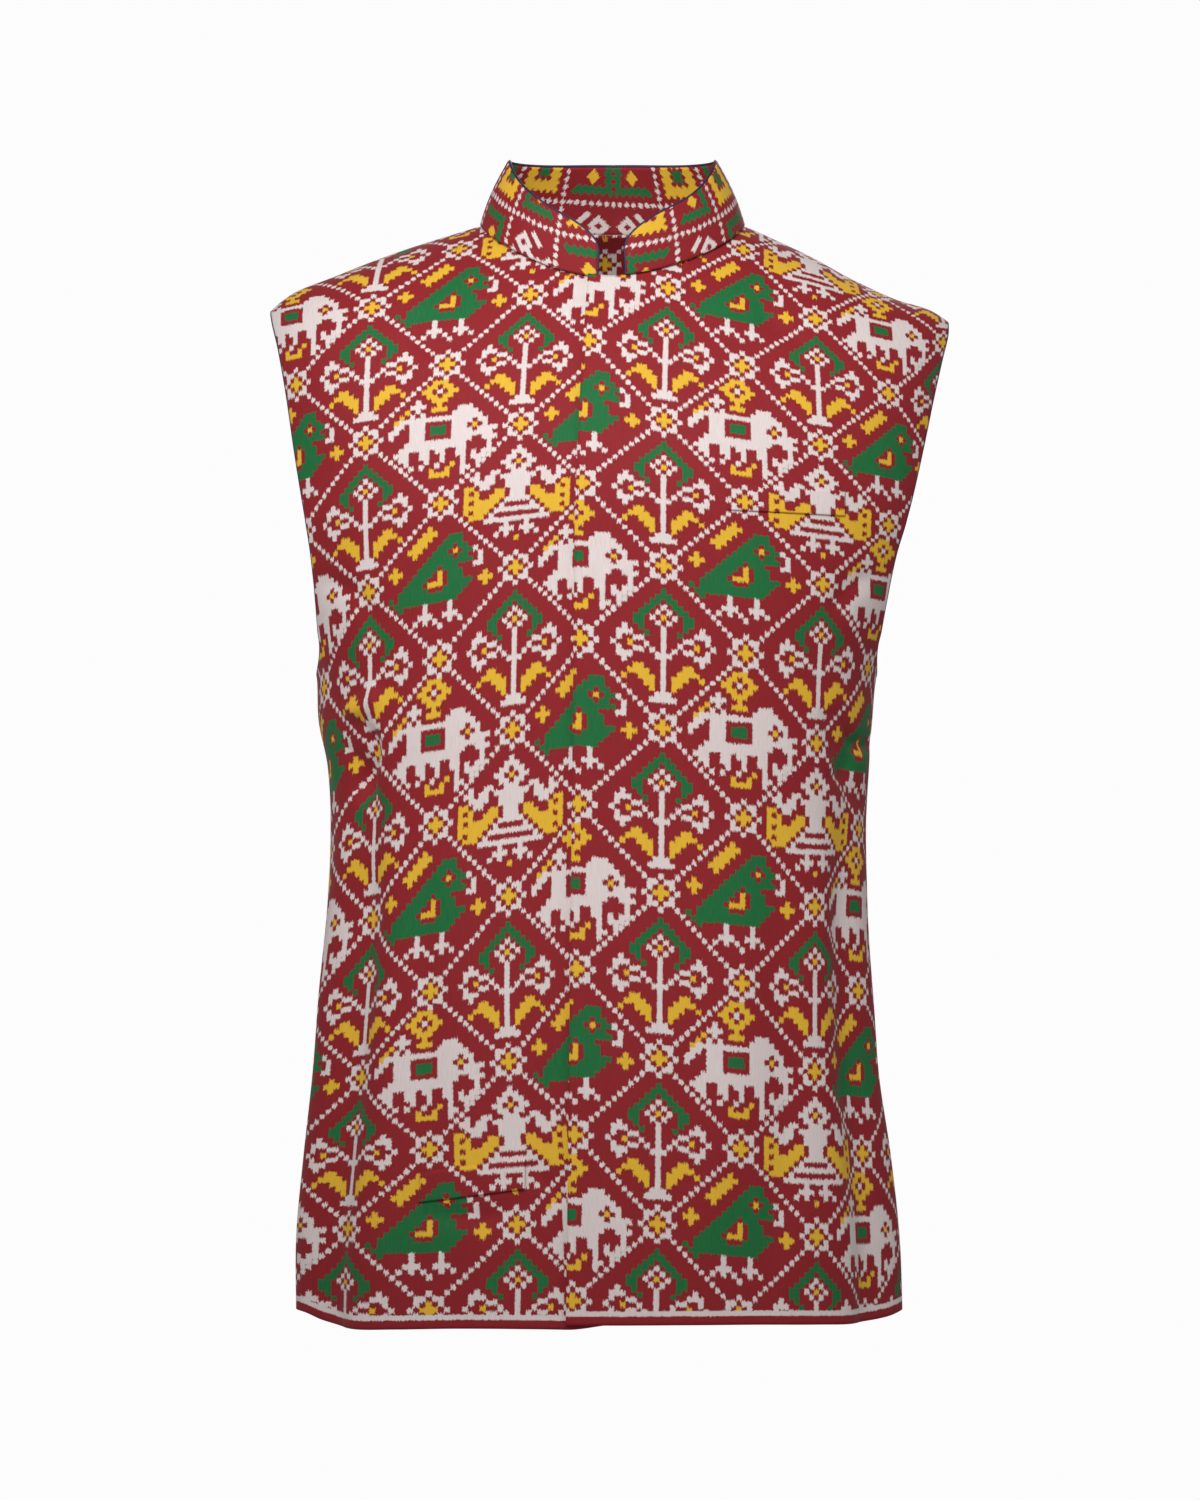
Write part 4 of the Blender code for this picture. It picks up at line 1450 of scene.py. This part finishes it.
# %% The dyed thread group
def build_threads():
    tree, given, result = new_group(
        "ikat_threads",
        [
            ("Cells", "NodeSocketVector", None),
            ("Raggedness", "NodeSocketFloat", 0.3),
        ],
        [("Cells", "NodeSocketVector"), ("Streaks", "NodeSocketFloat")],
    )
    cells = given.outputs["Cells"]
    sideways = rough_noise(tree, vector(tree, "MULTIPLY", cells, (0.55, 4.6, 0)), 1.0)
    upwards = rough_noise(tree, vector(tree, "MULTIPLY", cells, (5.2, 0.5, 0)), 1.0)
    shift = together(
        tree,
        number(tree, "MULTIPLY", number(tree, "SUBTRACT", sideways, 0.5), 1.7),
        number(tree, "MULTIPLY", number(tree, "SUBTRACT", upwards, 0.5), 3.7),
        0.0,
    )
    strength = together(tree, given.outputs["Raggedness"], given.outputs["Raggedness"], 0.0)
    moved = vector(tree, "ADD", cells, vector(tree, "MULTIPLY", shift, strength))
    tree.links.new(moved, result.inputs["Cells"])
    streaks = rough_noise(tree, vector(tree, "MULTIPLY", cells, (7.0, 0.35, 0)), 1.0, 2.0)
    tree.links.new(streaks, result.inputs["Streaks"])
    return tree


threads = build_threads()
print("thread group:", len(threads.nodes), "nodes")

# %% [markdown]
# ## The cloth materials
#
# Panels, collar and welts are one cloth. Its material places the two groups, and
# mixes the four dyes by their masks. White cells show a little of the red warp
# through them, and every dye varies along its threads. The raised threads and the
# coarse slub of the weave go to a Bump node. A faint sheen at grazing angles is
# what tells silk and fine cotton from matt wool.


# %% Cloth
RED = (0.38, 0.019, 0.026, 1)
DARK_RED = (0.27, 0.012, 0.018, 1)
WHITE = (0.97, 0.91, 0.89, 1)
PINKISH_WHITE = (0.80, 0.62, 0.60, 1)
YELLOW = (0.98, 0.62, 0.05, 1)
DARK_YELLOW = (0.86, 0.46, 0.025, 1)
GREEN = (0.016, 0.225, 0.06, 1)
DARK_GREEN = (0.007, 0.125, 0.035, 1)
HEM_LINE_MM, HEM_LINE_HALF_MM = 7.6, 1.7


def cloth_material(name, weave, hem_line):
    material = bpy.data.materials.new(name)
    material.use_nodes = True
    tree = material.node_tree
    shader = tree.nodes["Principled BSDF"]
    place = tree.nodes.new("ShaderNodeUVMap")
    place.uv_map = "weave"
    ragged = tree.nodes.new("ShaderNodeGroup")
    ragged.node_tree = threads
    ragged.inputs["Raggedness"].default_value = 0.42
    tree.links.new(place.outputs[0], ragged.inputs["Cells"])
    pattern = tree.nodes.new("ShaderNodeGroup")
    pattern.node_tree = weave
    tree.links.new(ragged.outputs["Cells"], pattern.inputs["Cells"])
    white, yellow, green = (pattern.outputs[n] for n in ("White", "Yellow", "Green"))
    if hem_line:
        edge = tree.nodes.new("ShaderNodeUVMap")
        edge.uv_map = "edge"
        uneven = number(tree, "SUBTRACT", ragged.outputs["Streaks"], 0.5)
        wobble = number(tree, "MULTIPLY", uneven, 3.2)
        rise = number(tree, "ADD", parts_of(tree, edge.outputs[0])[0], wobble)
        line = number(tree, "COMPARE", rise, HEM_LINE_MM, HEM_LINE_HALF_MM)
        above = number(tree, "GREATER_THAN", rise, HEM_LINE_MM)
        white = number(tree, "MAXIMUM", number(tree, "MULTIPLY", white, above), line)
        yellow = number(tree, "MULTIPLY", yellow, above)
        green = number(tree, "MULTIPLY", green, above)
    streaks = ragged.outputs["Streaks"]
    ground = mixed(tree, streaks, DARK_RED, RED)
    colour = mixed(tree, green, ground, mixed(tree, streaks, DARK_GREEN, GREEN))
    colour = mixed(tree, yellow, colour, mixed(tree, streaks, DARK_YELLOW, YELLOW))
    colour = mixed(tree, white, colour, mixed(tree, streaks, PINKISH_WHITE, WHITE))
    tree.links.new(colour, shader.inputs["Base Color"])
    raised = number(tree, "MULTIPLY", number(tree, "MAXIMUM", white, yellow), 0.35)
    slub = number(tree, "MULTIPLY", streaks, 0.5)
    bump = tree.nodes.new("ShaderNodeBump")
    bump.inputs["Distance"].default_value = 0.0006
    bump.inputs["Strength"].default_value = 0.5
    tree.links.new(number(tree, "ADD", raised, slub), bump.inputs["Height"])
    tree.links.new(bump.outputs["Normal"], shader.inputs["Normal"])
    shader.inputs["Roughness"].default_value = 0.72
    shader.inputs["Specular IOR Level"].default_value = 0.3
    shader.inputs["Sheen Weight"].default_value = 0.08
    shader.inputs["Sheen Roughness"].default_value = 0.4
    return material


red_cloth = cloth_material("trellis_cloth", trellis, True)
collar_cloth = cloth_material("collar_trellis_cloth", collar_trellis, False)
welt_cloth = cloth_material("welt_trellis_cloth", trellis, False)
for piece in (front_left, front_right, back):
    piece.data.materials.append(red_cloth)
collar.data.materials.append(collar_cloth)
for piece in welts:
    piece.data.materials.append(welt_cloth)

cord_paint = bpy.data.materials.new("navy_cord")
cord_paint.use_nodes = True
cord_shader = cord_paint.node_tree.nodes["Principled BSDF"]
cord_shader.inputs["Base Color"].default_value = (0.032, 0.016, 0.07, 1)
cord_shader.inputs["Roughness"].default_value = 0.55
for cord in cords:
    cord.data.materials.append(cord_paint)
print("materials:", [m.name for m in bpy.data.materials])
